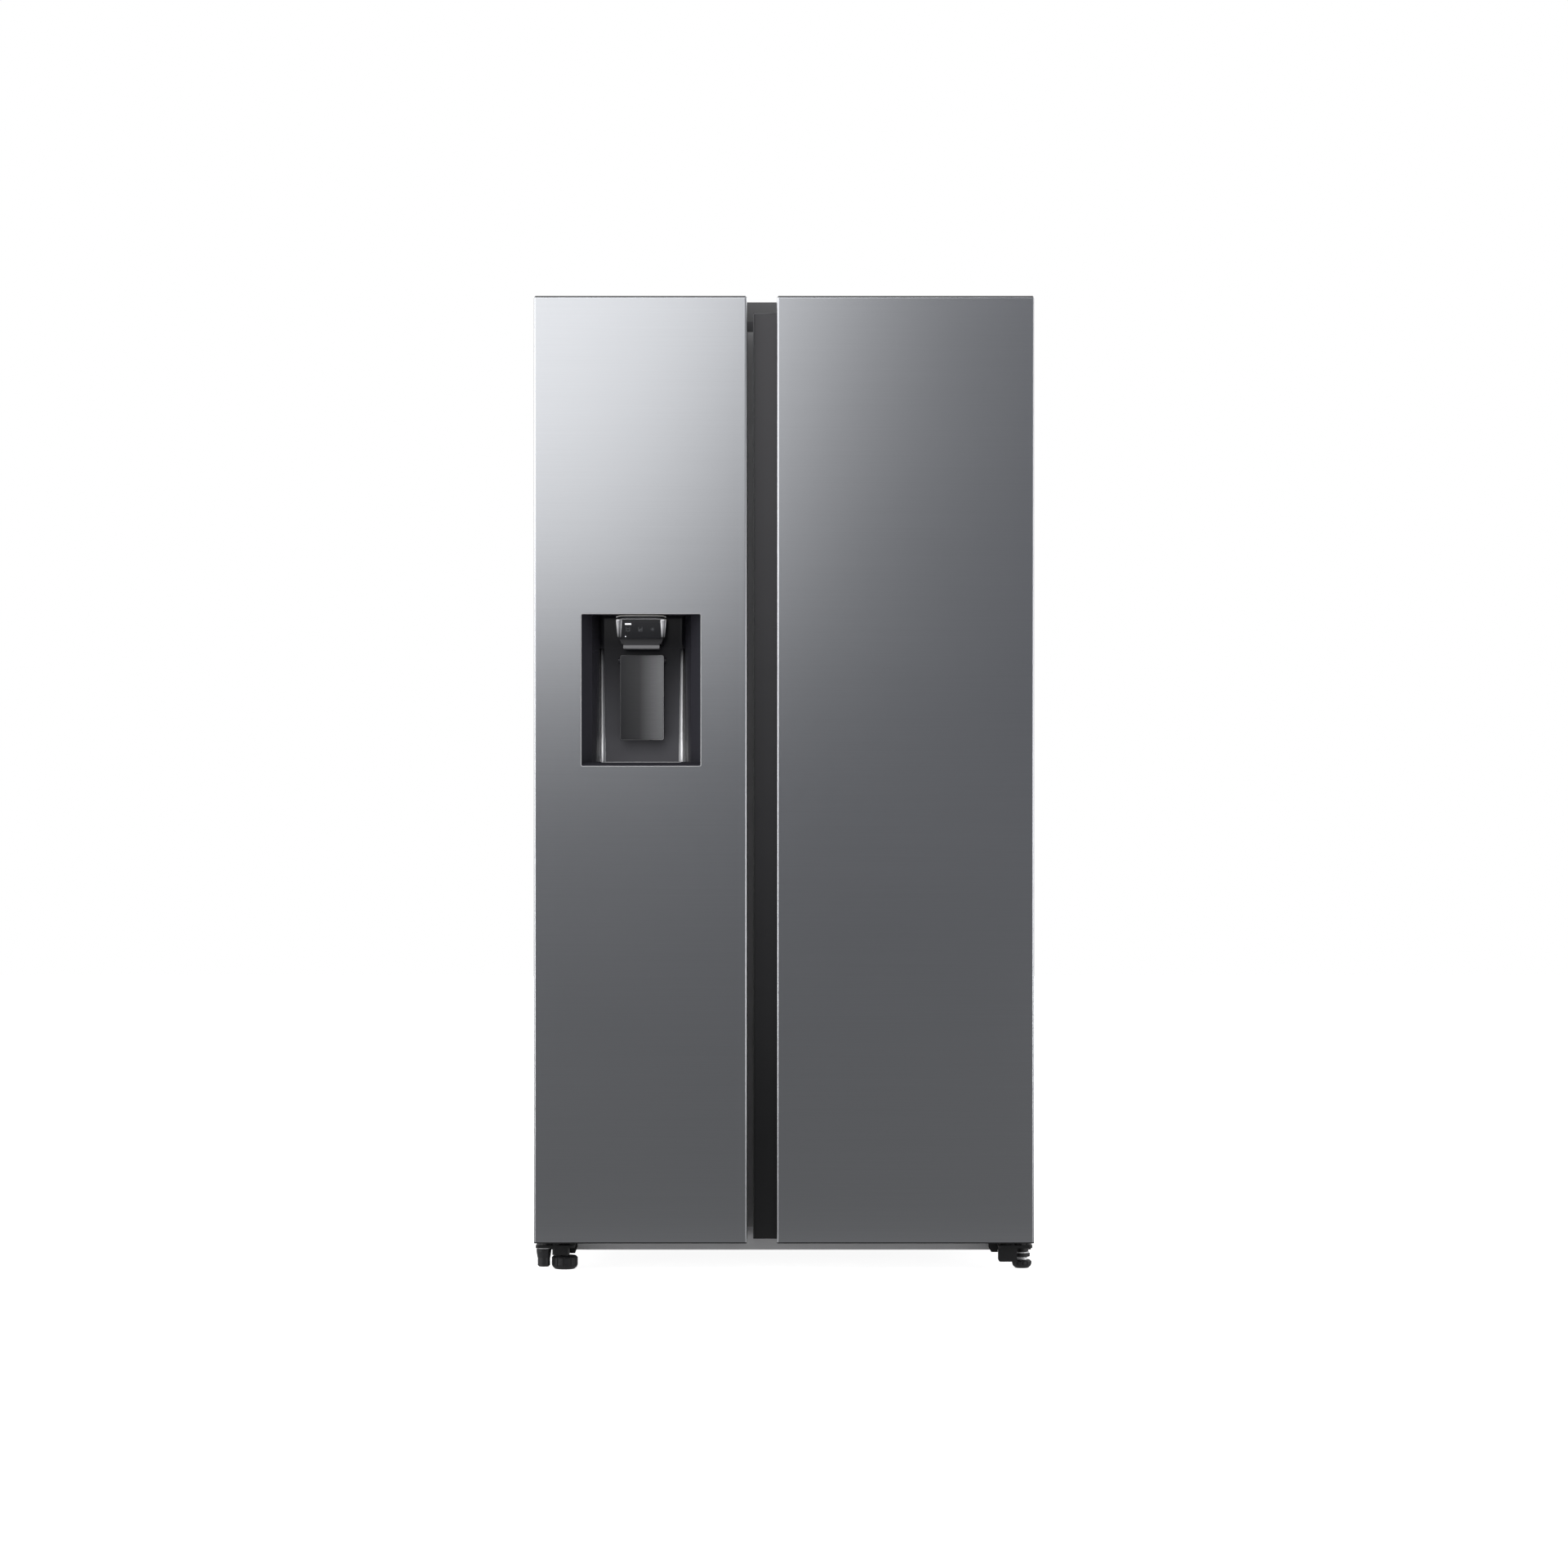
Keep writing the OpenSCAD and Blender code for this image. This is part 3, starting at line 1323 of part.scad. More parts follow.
module dispenser_spout() {
  z1 = head_z0;
  color(GREY) difference() {
    union() {
      chute(chute_t);
      // funnel below the head
      translate([disp_x, 0, 0]) along_y(chute_y - 26, chute_y + 26)
        polygon([[-40, z1], [-36, z1 - 10], [-33, z1 - 10], [-33, z1 - 18],
        [33, z1 - 18], [33, z1 - 10], [36, z1 - 10], [40, z1]]);
    }
    chute(0);
    block([disp_x - chute_w / 2, chute_y - 20, z1 - 30], [disp_x + chute_w / 2, chute_y + 20, z1]);
  }
}

module dispenser_lever() {
  z1 = disp_top - paddle_drop;
  yb = front_y + disp_d - paddle_gap;
  color([0.22, 0.22, 0.23]) {
    // paddle with rounded corners and a thin rim
    translate([disp_x, 0, 0]) along_y(yb - paddle_t, yb)
      round_rect([-paddle_w / 2, z1 - paddle_h], [paddle_w / 2, z1], 4);
    // stiffening ribs behind the paddle
    for (x = [-20, 20]) along_x(disp_x + x - 1, disp_x + x + 1)
      polygon([[yb - e, z1 - 30], [yb + 5, z1 - 30],
      [yb - e, z1 - paddle_h + 20]]);
    // hanger and pivot pins
    along_x(disp_x - lug_x + 4, disp_x + lug_x - 4) {
      translate([lever_y, lever_z]) circle(5);
      translate([yb - e, lever_z - 5]) square([lever_y - yb + e, 10]);
    }
    rod_x(disp_x - lug_x - 9, disp_x + lug_x + 9, lever_y, lever_z, paddle_pin_r);
  }
}

// ---- ice maker ----

rim_in = 12;
bucket_z = disp_top + 34;
ice_room_h = room_top - ice_top_gap - bucket_z;
maker_h = maker_share * ice_room_h;
bucket_h = ice_room_h - maker_h - 12;
ice_w = 2 * (min(disp_x - FREEZER[0], FREEZER[1] - disp_x) - rim_in - rim_w - ice_side_gap);
auger_y = door_back + bucket_d / 2 + 2;
auger_z = bucket_z + 38;

module ice_bucket() {
  x0 = disp_x - ice_w / 2;
  x1 = disp_x + ice_w / 2;
  y0 = door_back;
  y1 = door_back + bucket_d;
  z1 = bucket_z + bucket_h;
  color(CLEAR) difference() {
    along_x(x0, x1)
      polygon([[y0, bucket_z], [y1 - 16, bucket_z], [y1, bucket_z + 20], [y1, z1 - 50],
        [y1 - 26, z1], [y0, z1]]);
    along_x(x0 + bucket_t, x1 - bucket_t)
      polygon([[y0 + bucket_t, bucket_z + bucket_t], [y1 - 18, bucket_z + bucket_t],
      [y1 - bucket_t, bucket_z + 21], [y1 - bucket_t, z1 - 50], [y1 - 27 - bucket_t, z1 + e],
        [y0 + bucket_t, z1 + e]]);
    // outlet over the chute
    block([disp_x - chute_w / 2, door_back + 20, bucket_z - e],
      [disp_x + chute_w / 2, door_back + 70, bucket_z + bucket_t + e]);
    rod_x(x0 - 1, x1 + 1, auger_y, auger_z, auger_shaft_r + 0.08);
  }
}

module ice_auger() {
  half = ice_w / 2 - bucket_t - 3;
  color(STEEL) {
    rod_x(disp_x - ice_w / 2 + 0.5, disp_x + ice_w / 2 - 0.5, auger_y, auger_z, auger_shaft_r);
    translate([disp_x - half, auger_y, auger_z]) rotate([0, 90, 0]) {
      linear_extrude(2 * half, twist = 720, slices = 40, $fn = 8)
        translate([auger_shaft_r - 1.5, -1.5]) square([auger_r - auger_shaft_r + 1.5, 3]);
    }
  }
}

module ice_maker() {
  x0 = disp_x - ice_w / 2;
  x1 = disp_x + ice_w / 2;
  y0 = door_back;
  z0 = bucket_z + bucket_h + 12;
  mold_r = 26;
  cy = y0 + mold_r + 6;
  cz = z0 + 44;
  color(WHITE) difference() {
    union() {
      // gear housing and mounting plate
      block([x0, y0, z0], [x0 + 34, y0 + bucket_d - 14, z0 + maker_h]);
      block([x0, y0, z0], [x1, y0 + 4, z0 + maker_h]);
      block([x1 - 8, y0, z0 + 16], [x1, y0 + 62, z0 + 60]);
      // mould body
      rod_x(x0 + 30, x1 - 2, cy, cz, mold_r + 4);
    }
    // half round cups
    for (i = [0 : 6]) {
      x = x0 + 40 + i * (ice_w - 56) / 7;
      intersection() {
        rod_x(x, x + (ice_w - 56) / 7 - 3, cy, cz, mold_r);
        block([x - 1, cy - 40, z0], [x + 60, cy + 40, cz + e]);
      }
    }
    block([x0 + 34, y0 + 4, cz], [x1 - 8, cy + 40, cz + 40]);
  }
}

// ---- the inside of the doors ----

// outline of the rim's outer edge in (x, z)

module door_liner(span, x0, x1) {
  a = [span[0] + rim_in, floor_z + rim_in];
  b = [span[1] - rim_in, room_top - rim_in];
  along_y(liner_plate_y, door_back) translate([x0, skin_bottom]) square([x1 - x0, ledge_z - skin_bottom]);
  along_y(door_back - e, door_back + rim_d) ring_rect(a + [rim_w, rim_w], b - [rim_w, rim_w], rim_w, 3);
  // soft lead-in round the rim
  along_y(door_back - e, door_back + rim_d - 10)
    ring_rect(a + [rim_w, rim_w], b - [rim_w, rim_w], rim_w + 2, 3);
}

// small pegs on the rim that carry a bin
module bin_pegs(span, zs, d) {
  for (z = zs, s = [0, 1]) {
    x = s == 0 ? span[0] + rim_in + rim_w - e : span[1] - rim_in - rim_w - 5;
    block([x, door_back, z - 7], [x + 5 + e, door_back + rim_d - 12, z]);
  }
}

// a door bin: sloped sides, closed bottom, higher front
module bin(x0, x1, z, d) {
  y0 = door_back + seat;
  y1 = door_back + d;
  t = bin_t;
  difference() {
    along_x(x0, x1)
      polygon([[y0, z], [y1 - 6, z], [y1, z + 8], [y1, z + bin_h], [y1 - 8, z + bin_h],
        [y0 + 14, z + bin_h * 0.62], [y0, z + bin_h * 0.62]]);
    along_x(x0 + t, x1 - t)
      polygon([[y0 + t, z + t], [y1 - 7, z + t], [y1 - t, z + 9], [y1 - t, z + bin_h + e],
        [y0 + t, z + bin_h + e]]);
  }
}

fridge_bin_zs = [for (i = [0 : 4]) shelf_first_z + 20 + i * (room_top - shelf_first_z - 170) / 4];
freezer_bin_zs = [shelf_first_z + 20, shelf_first_z + 170];
small_bin_zs = [disp_z + 16, disp_z + 150];
bulge_d = 26;
small_d = 58;

module bins(span, zs, d) {
  for (z = zs) bin(span[0] + rim_in + rim_w + seat, span[1] - rim_in - rim_w - seat, z, d);
}

module freezer_door_bins() {
  color(CLEAR) {
    bins(FREEZER, freezer_bin_zs, freezer_bin_d);
    translate([0, bulge_d, 0]) bins(FREEZER, small_bin_zs, small_d);
  }
}

module fridge_door_bins() {
  color(CLEAR) bins(FRIDGE, fridge_bin_zs, fridge_bin_d);
}

module freezer_door_liner() {
  x0 = FREEZER[0] + rim_in + rim_w;
  x1 = FREEZER[1] - rim_in - rim_w;
  color(WHITE) difference() {
    union() {
      door_liner(FREEZER, -side_x + skin_t, freezer_edge);
      // raised field behind the dispenser
      block([x0 - e, door_back - e, disp_z - 10], [x1 + e, door_back + bulge_d, disp_top + 18]);
      bin_pegs(FREEZER, concat(freezer_bin_zs, small_bin_zs), freezer_bin_d);
    }
    chute(chute_t);
  }
}

module fridge_door_liner() {
  color(WHITE) {
    door_liner(FRIDGE, fridge_edge, side_x - skin_t);
    bin_pegs(FRIDGE, fridge_bin_zs, fridge_bin_d);
  }
}

// a gasket with its retainer, folded bellows and magnet lip
module gasket(span) {
  a = [span[0] - gasket_in, floor_z - gasket_in];
  b = [span[1] + gasket_in, room_top + gasket_in];
  g = door_gap - seat;
  color([0.30, 0.30, 0.31]) {
    along_y(door_back, door_back + 3) ring_rect(a, b, gasket_w, 2);
    along_y(door_back + 3 - e, door_back + g / 2) ring_rect(a - [3, 3], b + [3, 3], gasket_w - 7, 4);
    along_y(door_back + g / 2 - e, door_back + g / 2 + 1.5)
      ring_rect(a - [1, 1], b + [1, 1], gasket_w - 3, 3);
    along_y(door_back + g / 2 + 1.5 - e, door_back + g - 3)
      ring_rect(a - [3, 3], b + [3, 3], gasket_w - 7, 4);
    along_y(door_back + g - 3 - e, door_back + g) ring_rect(a, b, gasket_w, 2);
  }
}

module freezer_door_gasket() {
  gasket(FREEZER);
}

module fridge_door_gasket() {
  gasket(FRIDGE);
}

// everything between skin, caps, liner and grip
module door_core(x0, x1, y1) {
  translate([0, 0, skin_bottom + cap_h]) linear_extrude(ledge_z - cap_h - skin_bottom - cap_h)
    front_rounded([x0, front_y + skin_t], [x1, y1], edge_r - skin_t);
}

module freezer_door_foam() {
  x1 = freezer_edge - skin_t;
  pocket_x = freezer_edge - pocket_w - grip_t;
  ya = front_y + return_d - grip_t;
  yb = front_y + return_d + 34 + grip_t;
  color(FOAM) difference() {
    door_core(-side_x + skin_t, x1, liner_plate_y);
    block([pocket_x, ya, 0], [x1 + 1, yb, door_top]);
    block([x1 - grip_t, yb - e, 0], [x1 + 1, door_back, door_top]);
    dispenser_envelope();
    chute(chute_t);
  }
}

module fridge_door_foam() {
  ya = front_y + return_d - grip_t;
  yb = front_y + grip_set + grip_t;
  z0 = skin_bottom + cap_h;
  z1 = ledge_z - cap_h;
  color(FOAM) {
    difference() {
      door_core(skin_edge + skin_t, side_x - skin_t, liner_plate_y);
      block([skin_edge, ya, 0], [skin_edge + pocket_w + grip_t, yb, door_top]);
    }
    block([fridge_edge + grip_t, yb, z0], [skin_edge + 10, liner_plate_y, z1]);
  }
}

module freezer_door_panel() {
  color(STEEL) difference() {
    door_skin(-side_x, freezer_edge, true);
    along_y(front_y - 1, front_y + skin_t + 1)
      round_rect([disp_x - disp_w / 2, disp_z], [disp_x + disp_w / 2, disp_top], disp_r);
  }
}

module fridge_door_panel() {
  color(STEEL) door_skin(skin_edge, side_x, false);
}

module freezer_door_caps() {
  color(DARK) end_caps(-side_x, freezer_edge, -1);
}

module fridge_door_caps() {
  color(DARK) end_caps(skin_edge, side_x, 1);
}

// ---- screws ----

module screw(r, h) {
  difference() {
    cylinder(h = h, r = r);
    translate([0, 0, h - 1]) for (a = [0, 90]) rotate(a) translate([-r * 0.6, -0.5, 0])
      cube([r * 1.2, 1, 2]);
  }
}

module screws() {
  color(STEEL) {
    // back of the machine room cover
    for (x = inner_x * [-0.88, -0.13, 0.2, 0.88], z = [mr_floor + 10, machine_top - 12])
      translate([x, rear_y - 2, z])
      rotate([-90, 0, 0]) screw(4, 1.8);
    // upper hinge plates
    for (s = [-1, 1], dx = [-50, -30, 6], dy = [30, 58]) {
      if (dx < 0) translate([s * (pivot_x + dx), case_front + dy, cabinet_top + upper_t]) screw(4.5, 3.5);
    }
    // tabs of the lower hinge plates
    for (x = [-side_x + 14, -side_x + 50, side_x - 14, side_x - 50]) {
      translate([x, case_front - 3, base_z + 5]) rotate([90, 0, 0]) screw(3.2, 2);
    }
  }
}

outer_case();
insulation();
back_panel();
base_frame();
mullion_cover();
top_cover();
upper_hinges();
lower_hinge_left();
lower_hinge_right();
water_line();
freezer_liner();
fridge_liner();
duct_covers();
evaporator();
compressor();
compressor_mounts();
condenser();
fan_shroud();
compressor_plate();
machine_room_cover();
drain_pan();
water_inlet_valve();
control_board();
glass_shelves();
shelf_trims();
lamp_covers();
screws();
cord_gland();
left_foot();
right_foot();
rear_roller_left();
rear_roller_right();
condenser_fan();
evaporator_fan();
freezer_drawer_upper();
freezer_drawer_lower();
crisper_upper();
crisper_lower();
freezer_door_panel();
freezer_door_foam();
freezer_door_liner();
freezer_door_gasket();
freezer_door_caps();
freezer_door_grip();
freezer_door_bins();
dispenser_housing();
dispenser_head();
dispenser_display();
dispenser_spout();
dispenser_lever();
ice_bucket();
ice_maker();
ice_auger();
fridge_door_panel();
fridge_door_foam();
fridge_door_liner();
fridge_door_gasket();
fridge_door_caps();
fridge_door_grip();
fridge_door_bins();
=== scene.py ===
# %% [markdown]
# # Side by side refrigerator
# The imported model comes in as a fixed frame. Everything below gives it its finishes,
# adds the small bright trims that a plain solid can't show, some of them painted highlights,
# and sets up the studio. Several finishes also carry painted light and shade.
# The studio is built in metres. New pieces are built in millimetres and turned into metres once.

# %% Load the frame
import json
import math
import bpy
import bmesh
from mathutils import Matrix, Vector


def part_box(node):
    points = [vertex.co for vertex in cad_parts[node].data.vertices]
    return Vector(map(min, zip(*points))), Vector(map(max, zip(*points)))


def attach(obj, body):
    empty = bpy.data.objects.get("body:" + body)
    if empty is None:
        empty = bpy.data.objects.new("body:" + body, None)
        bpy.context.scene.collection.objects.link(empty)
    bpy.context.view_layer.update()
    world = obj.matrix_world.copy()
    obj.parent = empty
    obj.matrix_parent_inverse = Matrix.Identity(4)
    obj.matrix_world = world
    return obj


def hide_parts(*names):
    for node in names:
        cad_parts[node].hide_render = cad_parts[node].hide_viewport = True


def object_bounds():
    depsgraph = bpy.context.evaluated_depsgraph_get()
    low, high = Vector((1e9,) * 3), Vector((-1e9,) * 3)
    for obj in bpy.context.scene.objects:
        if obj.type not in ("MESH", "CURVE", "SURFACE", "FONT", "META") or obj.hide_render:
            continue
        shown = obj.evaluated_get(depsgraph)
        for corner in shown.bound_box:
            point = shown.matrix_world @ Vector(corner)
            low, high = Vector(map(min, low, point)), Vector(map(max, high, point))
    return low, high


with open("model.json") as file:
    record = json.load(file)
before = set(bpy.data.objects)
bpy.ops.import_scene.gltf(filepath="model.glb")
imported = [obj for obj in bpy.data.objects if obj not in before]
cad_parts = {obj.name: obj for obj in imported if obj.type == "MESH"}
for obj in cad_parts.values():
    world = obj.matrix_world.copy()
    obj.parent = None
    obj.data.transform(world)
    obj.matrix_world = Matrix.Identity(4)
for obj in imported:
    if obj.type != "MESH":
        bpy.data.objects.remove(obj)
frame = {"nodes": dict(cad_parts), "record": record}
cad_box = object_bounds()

nodes = frame["nodes"]
scene = bpy.context.scene
scene.view_settings.view_transform = "Standard"
print("CAD box:", [[round(c, 4) for c in corner] for corner in cad_box], "nodes:", len(nodes))

# %% [markdown]
# The camera comes first. It stands far back with a long lens, level with the middle of the
# doors, so the cabinet looks square and its sides stay hidden.

# %% Camera
CAMERA_BACK, CAMERA_HEIGHT = 8.358, 0.8907
LENS = 100.8
camera_data = bpy.data.cameras.new("studio_camera")
camera_data.sensor_width = 36
camera_data.lens = LENS
camera_data.clip_end = 60
camera = bpy.data.objects.new("studio_camera", camera_data)
camera.location = (0, -CAMERA_BACK, CAMERA_HEIGHT)
camera.rotation_euler = (math.radians(90), 0, 0)
scene.collection.objects.link(camera)
scene.camera = camera
print("camera at", tuple(round(c, 3) for c in camera.location))

# %% [markdown]
# The studio is a white room with a dim wall behind the camera. Brushed steel is a blurred
# mirror, so the doors show that wall low down and the big soft lamp high on the left.
# The world is split by Light Path: what the camera and mirrors see, and what lights the paint.

# %% World
world = bpy.data.worlds.new("studio")
scene.world = world
world.use_nodes = True
tree = world.node_tree
tree.nodes.clear()
link = tree.links.new
out = tree.nodes.new("ShaderNodeOutputWorld")
seen = tree.nodes.new("ShaderNodeBackground")
fill = tree.nodes.new("ShaderNodeBackground")
mix = tree.nodes.new("ShaderNodeMixShader")
path = tree.nodes.new("ShaderNodeLightPath")
direction = tree.nodes.new("ShaderNodeTexCoord")
split = tree.nodes.new("ShaderNodeSeparateXYZ")
wall = tree.nodes.new("ShaderNodeValToRGB")
either = tree.nodes.new("ShaderNodeMath")
either.operation = "MAXIMUM"
also = tree.nodes.new("ShaderNodeMath")
also.operation = "MAXIMUM"
half = tree.nodes.new("ShaderNodeMapRange")
half.inputs["From Min"].default_value = -1
wall.color_ramp.elements[0].position = 0.35
wall.color_ramp.elements[0].color = (0.101, 0.106, 0.123, 1)
wall.color_ramp.elements[1].position = 0.97
wall.color_ramp.elements[1].color = (1, 1, 1, 1)
for position, shade in ((0.52, 0.45), (0.85, 0.50)):
    wall.color_ramp.elements.new(position).color = (shade, shade, shade, 1)
camera_white = tree.nodes.new("ShaderNodeMix")
camera_white.data_type = "RGBA"
camera_white.inputs[7].default_value = (1, 1, 1, 1)
link(direction.outputs["Generated"], split.inputs[0])
link(split.outputs["Y"], half.inputs["Value"])
link(half.outputs["Result"], wall.inputs[0])
link(path.outputs["Is Camera Ray"], camera_white.inputs[0])
link(wall.outputs[0], camera_white.inputs[6])
link(camera_white.outputs[2], seen.inputs["Color"])
link(path.outputs["Is Camera Ray"], either.inputs[0])
link(path.outputs["Is Glossy Ray"], either.inputs[1])
link(either.outputs[0], also.inputs[0])
link(path.outputs["Is Transmission Ray"], also.inputs[1])
link(also.outputs[0], mix.inputs[0])
fill.inputs["Color"].default_value = (0.42, 0.42, 0.43, 1)
link(fill.outputs[0], mix.inputs[1])
link(seen.outputs[0], mix.inputs[2])
link(mix.outputs[0], out.inputs[0])
print("world built with", len(tree.nodes), "nodes")

# %% [markdown]
# The key hangs high on the left in front of the doors, and its blurred mirror image makes
# their bright upper left corner. On each side one large lamp lights the cabinet's side, a low
# strip draws the upright highlight in the dispenser's corner and a taller one lights the door
# edge. A long lamp overhead lights the folded top edges, and one behind lights the rear.

# %% Lamps
def softbox(name, place, aim, width, height, power):
    """A rectangular area lamp that points at its aim and stays out of the camera's sight."""
    data = bpy.data.lights.new(name, "AREA")
    data.shape = "RECTANGLE"
    data.size, data.size_y = width, height
    data.energy = power
    lamp = bpy.data.objects.new(name, data)
    lamp.location = place
    lamp.rotation_euler = (Vector(aim) - Vector(place)).to_track_quat("-Z", "Y").to_euler()
    lamp.visible_camera = False
    scene.collection.objects.link(lamp)
    return lamp


DOORS_Y = -0.36
softbox("key", (-1.253, -1.40, 2.163), (-0.3, DOORS_Y, 1.4), 3.51, 1.976, 31.4)
for label, side in (("left", -1), ("right", 1)):
    softbox("side_" + label, (side * 3.2, 0.4, 1.6), (0, 0, 0.9), 1.6, 2.2, 26)
    softbox("low_strip_" + label, (side * 2.1, -1.95, 0.62), (0, DOORS_Y, 0.62), 0.7, 1.1, 9)
    softbox("edge_strip_" + label, (side * 2.7, -1.10, 0.95), (0, DOORS_Y, 0.95), 1.0, 2.0, 12)
softbox("top_strip", (0, -2.38, 3.41), (0, DOORS_Y, 1.78), 3.2, 0.5, 7)
softbox("back", (0, 3.4, 2.2), (0, 0, 0.9), 2.4, 1.6, 40)

# %% [markdown]
# The floor is pale and keeps the soft shadow under the feet. The camera sees it lifted to
# white by an added glow, and mirrors see it dim in front of the doors and white behind.

# %% Floor
floor_mesh = bpy.data.meshes.new("studio_floor")
floor_mesh.from_pydata([(-12, -12, 0), (12, -12, 0), (12, 12, 0), (-12, 12, 0)], [], [(0, 1, 2, 3)])
floor = bpy.data.objects.new("studio_floor", floor_mesh)
scene.collection.objects.link(floor)
floor_paint = bpy.data.materials.new("floor_paint")
floor_paint.use_nodes = True
tree = floor_paint.node_tree
link = tree.links.new
tree.nodes.clear()
out = tree.nodes.new("ShaderNodeOutputMaterial")
paint = tree.nodes.new("ShaderNodeBsdfDiffuse")
paint.inputs["Color"].default_value = (0.82, 0.82, 0.82, 1)
glow = tree.nodes.new("ShaderNodeEmission")
glow.inputs["Strength"].default_value = 0.90
lifted = tree.nodes.new("ShaderNodeAddShader")
mirrored = tree.nodes.new("ShaderNodeEmission")
path = tree.nodes.new("ShaderNodeLightPath")
coords = tree.nodes.new("ShaderNodeTexCoord")
split = tree.nodes.new("ShaderNodeSeparateXYZ")
depth = tree.nodes.new("ShaderNodeMapRange")
depth.inputs["From Min"].default_value = -0.8
depth.inputs["From Max"].default_value = 1.5
depth.inputs["To Min"].default_value = 0.145
by_camera = tree.nodes.new("ShaderNodeMixShader")
by_mirror = tree.nodes.new("ShaderNodeMixShader")
link(coords.outputs["Object"], split.inputs[0])
link(split.outputs["Y"], depth.inputs["Value"])
link(depth.outputs[0], mirrored.inputs["Strength"])
link(paint.outputs[0], lifted.inputs[0])
link(glow.outputs[0], lifted.inputs[1])
link(path.outputs["Is Camera Ray"], by_camera.inputs[0])
link(paint.outputs[0], by_camera.inputs[1])
link(lifted.outputs[0], by_camera.inputs[2])
link(path.outputs["Is Glossy Ray"], by_mirror.inputs[0])
link(by_camera.outputs[0], by_mirror.inputs[1])
link(mirrored.outputs[0], by_mirror.inputs[2])
link(by_mirror.outputs[0], out.inputs[0])
floor_mesh.materials.append(floor_paint)
print("floor", [round(d, 1) for d in floor.dimensions])

# %% [markdown]
# ## Finishes
# Each finish is a Principled surface with its own noise for colour, gloss and bump.
# What several share is a node group: a fine grain for moulded plastic and paint, a brushing
# that runs along X for the steel, and a sweep from one colour to another.

# %% Shared groups
def new_group(name, inputs, outputs):
    group = bpy.data.node_groups.new(name, "ShaderNodeTree")
    for label, kind, value in inputs:
        socket = group.interface.new_socket(label, in_out="INPUT", socket_type=kind)
        socket.default_value = value
    for label, kind in outputs:
        group.interface.new_socket(label, in_out="OUTPUT", socket_type=kind)
    return group, group.nodes.new("NodeGroupInput"), group.nodes.new("NodeGroupOutput")


def shade_and_gloss(group, gin, gout, spread, colour_noise, gloss_noise, low, high):
    """Vary the colour by plus or minus the spread, and the roughness between low and high."""
    n, link = group.nodes, group.links.new
    shade = n.new("ShaderNodeMapRange")
    for operation, end in (("SUBTRACT", "To Min"), ("ADD", "To Max")):
        limit = n.new("ShaderNodeMath")
        limit.operation = operation
        limit.inputs[0].default_value = 1
        link(gin.outputs[spread], limit.inputs[1])
        link(limit.outputs[0], shade.inputs[end])
    tint = n.new("ShaderNodeVectorMath")
    tint.operation = "MULTIPLY"
    gloss = n.new("ShaderNodeMapRange")
    gloss.inputs["To Min"].default_value = low
    gloss.inputs["To Max"].default_value = high
    rough = n.new("ShaderNodeMath")
    rough.operation = "MULTIPLY"
    link(colour_noise.outputs[0], shade.inputs["Value"])
    link(gin.outputs["Colour"], tint.inputs[0])
    link(shade.outputs[0], tint.inputs[1])
    link(tint.outputs[0], gout.inputs["Colour"])
    link(gloss_noise.outputs[0], gloss.inputs["Value"])
    link(gloss.outputs[0], rough.inputs[0])
    link(gin.outputs["Roughness"], rough.inputs[1])
    link(rough.outputs[0], gout.inputs["Roughness"])


FLOAT, COLOR, VECTOR = "NodeSocketFloat", "NodeSocketColor", "NodeSocketVector"

# brushing: long thin streaks along X
brushing, gin, gout = new_group(
    "brushing",
    [("Colour", COLOR, (0.6, 0.6, 0.6, 1)),
     ("Depth", FLOAT, 0.08),
     ("Roughness", FLOAT, 0.35),
     ("Fineness", FLOAT, 900.0)],
    [("Colour", COLOR), ("Roughness", FLOAT), ("Height", FLOAT)])
n, link = brushing.nodes, brushing.links.new
coords = n.new("ShaderNodeTexCoord")
stretch = n.new("ShaderNodeCombineXYZ")
stretch.inputs[0].default_value = 3.0
scale = n.new("ShaderNodeVectorMath")
scale.operation = "MULTIPLY"
streaks = n.new("ShaderNodeTexNoise")
streaks.inputs["Scale"].default_value = 1
streaks.inputs["Detail"].default_value = 3
clouds = n.new("ShaderNodeTexNoise")
clouds.inputs["Scale"].default_value = 1.4
clouds.inputs["Detail"].default_value = 2
link(gin.outputs["Fineness"], stretch.inputs[1])
link(gin.outputs["Fineness"], stretch.inputs[2])
link(coords.outputs["Object"], scale.inputs[0])
link(stretch.outputs[0], scale.inputs[1])
link(scale.outputs[0], streaks.inputs["Vector"])
link(coords.outputs["Object"], clouds.inputs["Vector"])
shade_and_gloss(brushing, gin, gout, "Depth", streaks, clouds, 0.92, 1.08)
link(streaks.outputs[0], gout.inputs["Height"])

# grain: the fine even texture of moulded plastic and powder paint
grain, gin, gout = new_group(
    "grain",
    [("Colour", COLOR, (0.5, 0.5, 0.5, 1)),
     ("Variation", FLOAT, 0.08),
     ("Roughness", FLOAT, 0.4),
     ("Size", FLOAT, 900.0)],
    [("Colour", COLOR), ("Roughness", FLOAT), ("Height", FLOAT)])
n, link = grain.nodes, grain.links.new
coords = n.new("ShaderNodeTexCoord")
fine = n.new("ShaderNodeTexVoronoi")
broad = n.new("ShaderNodeTexNoise")
broad.inputs["Scale"].default_value = 9
broad.inputs["Detail"].default_value = 4
link(coords.outputs["Object"], fine.inputs["Vector"])
link(coords.outputs["Object"], broad.inputs["Vector"])
link(gin.outputs["Size"], fine.inputs["Scale"])
shade_and_gloss(grain, gin, gout, "Variation", broad, broad, 0.88, 1.12)
link(fine.outputs[0], gout.inputs["Height"])

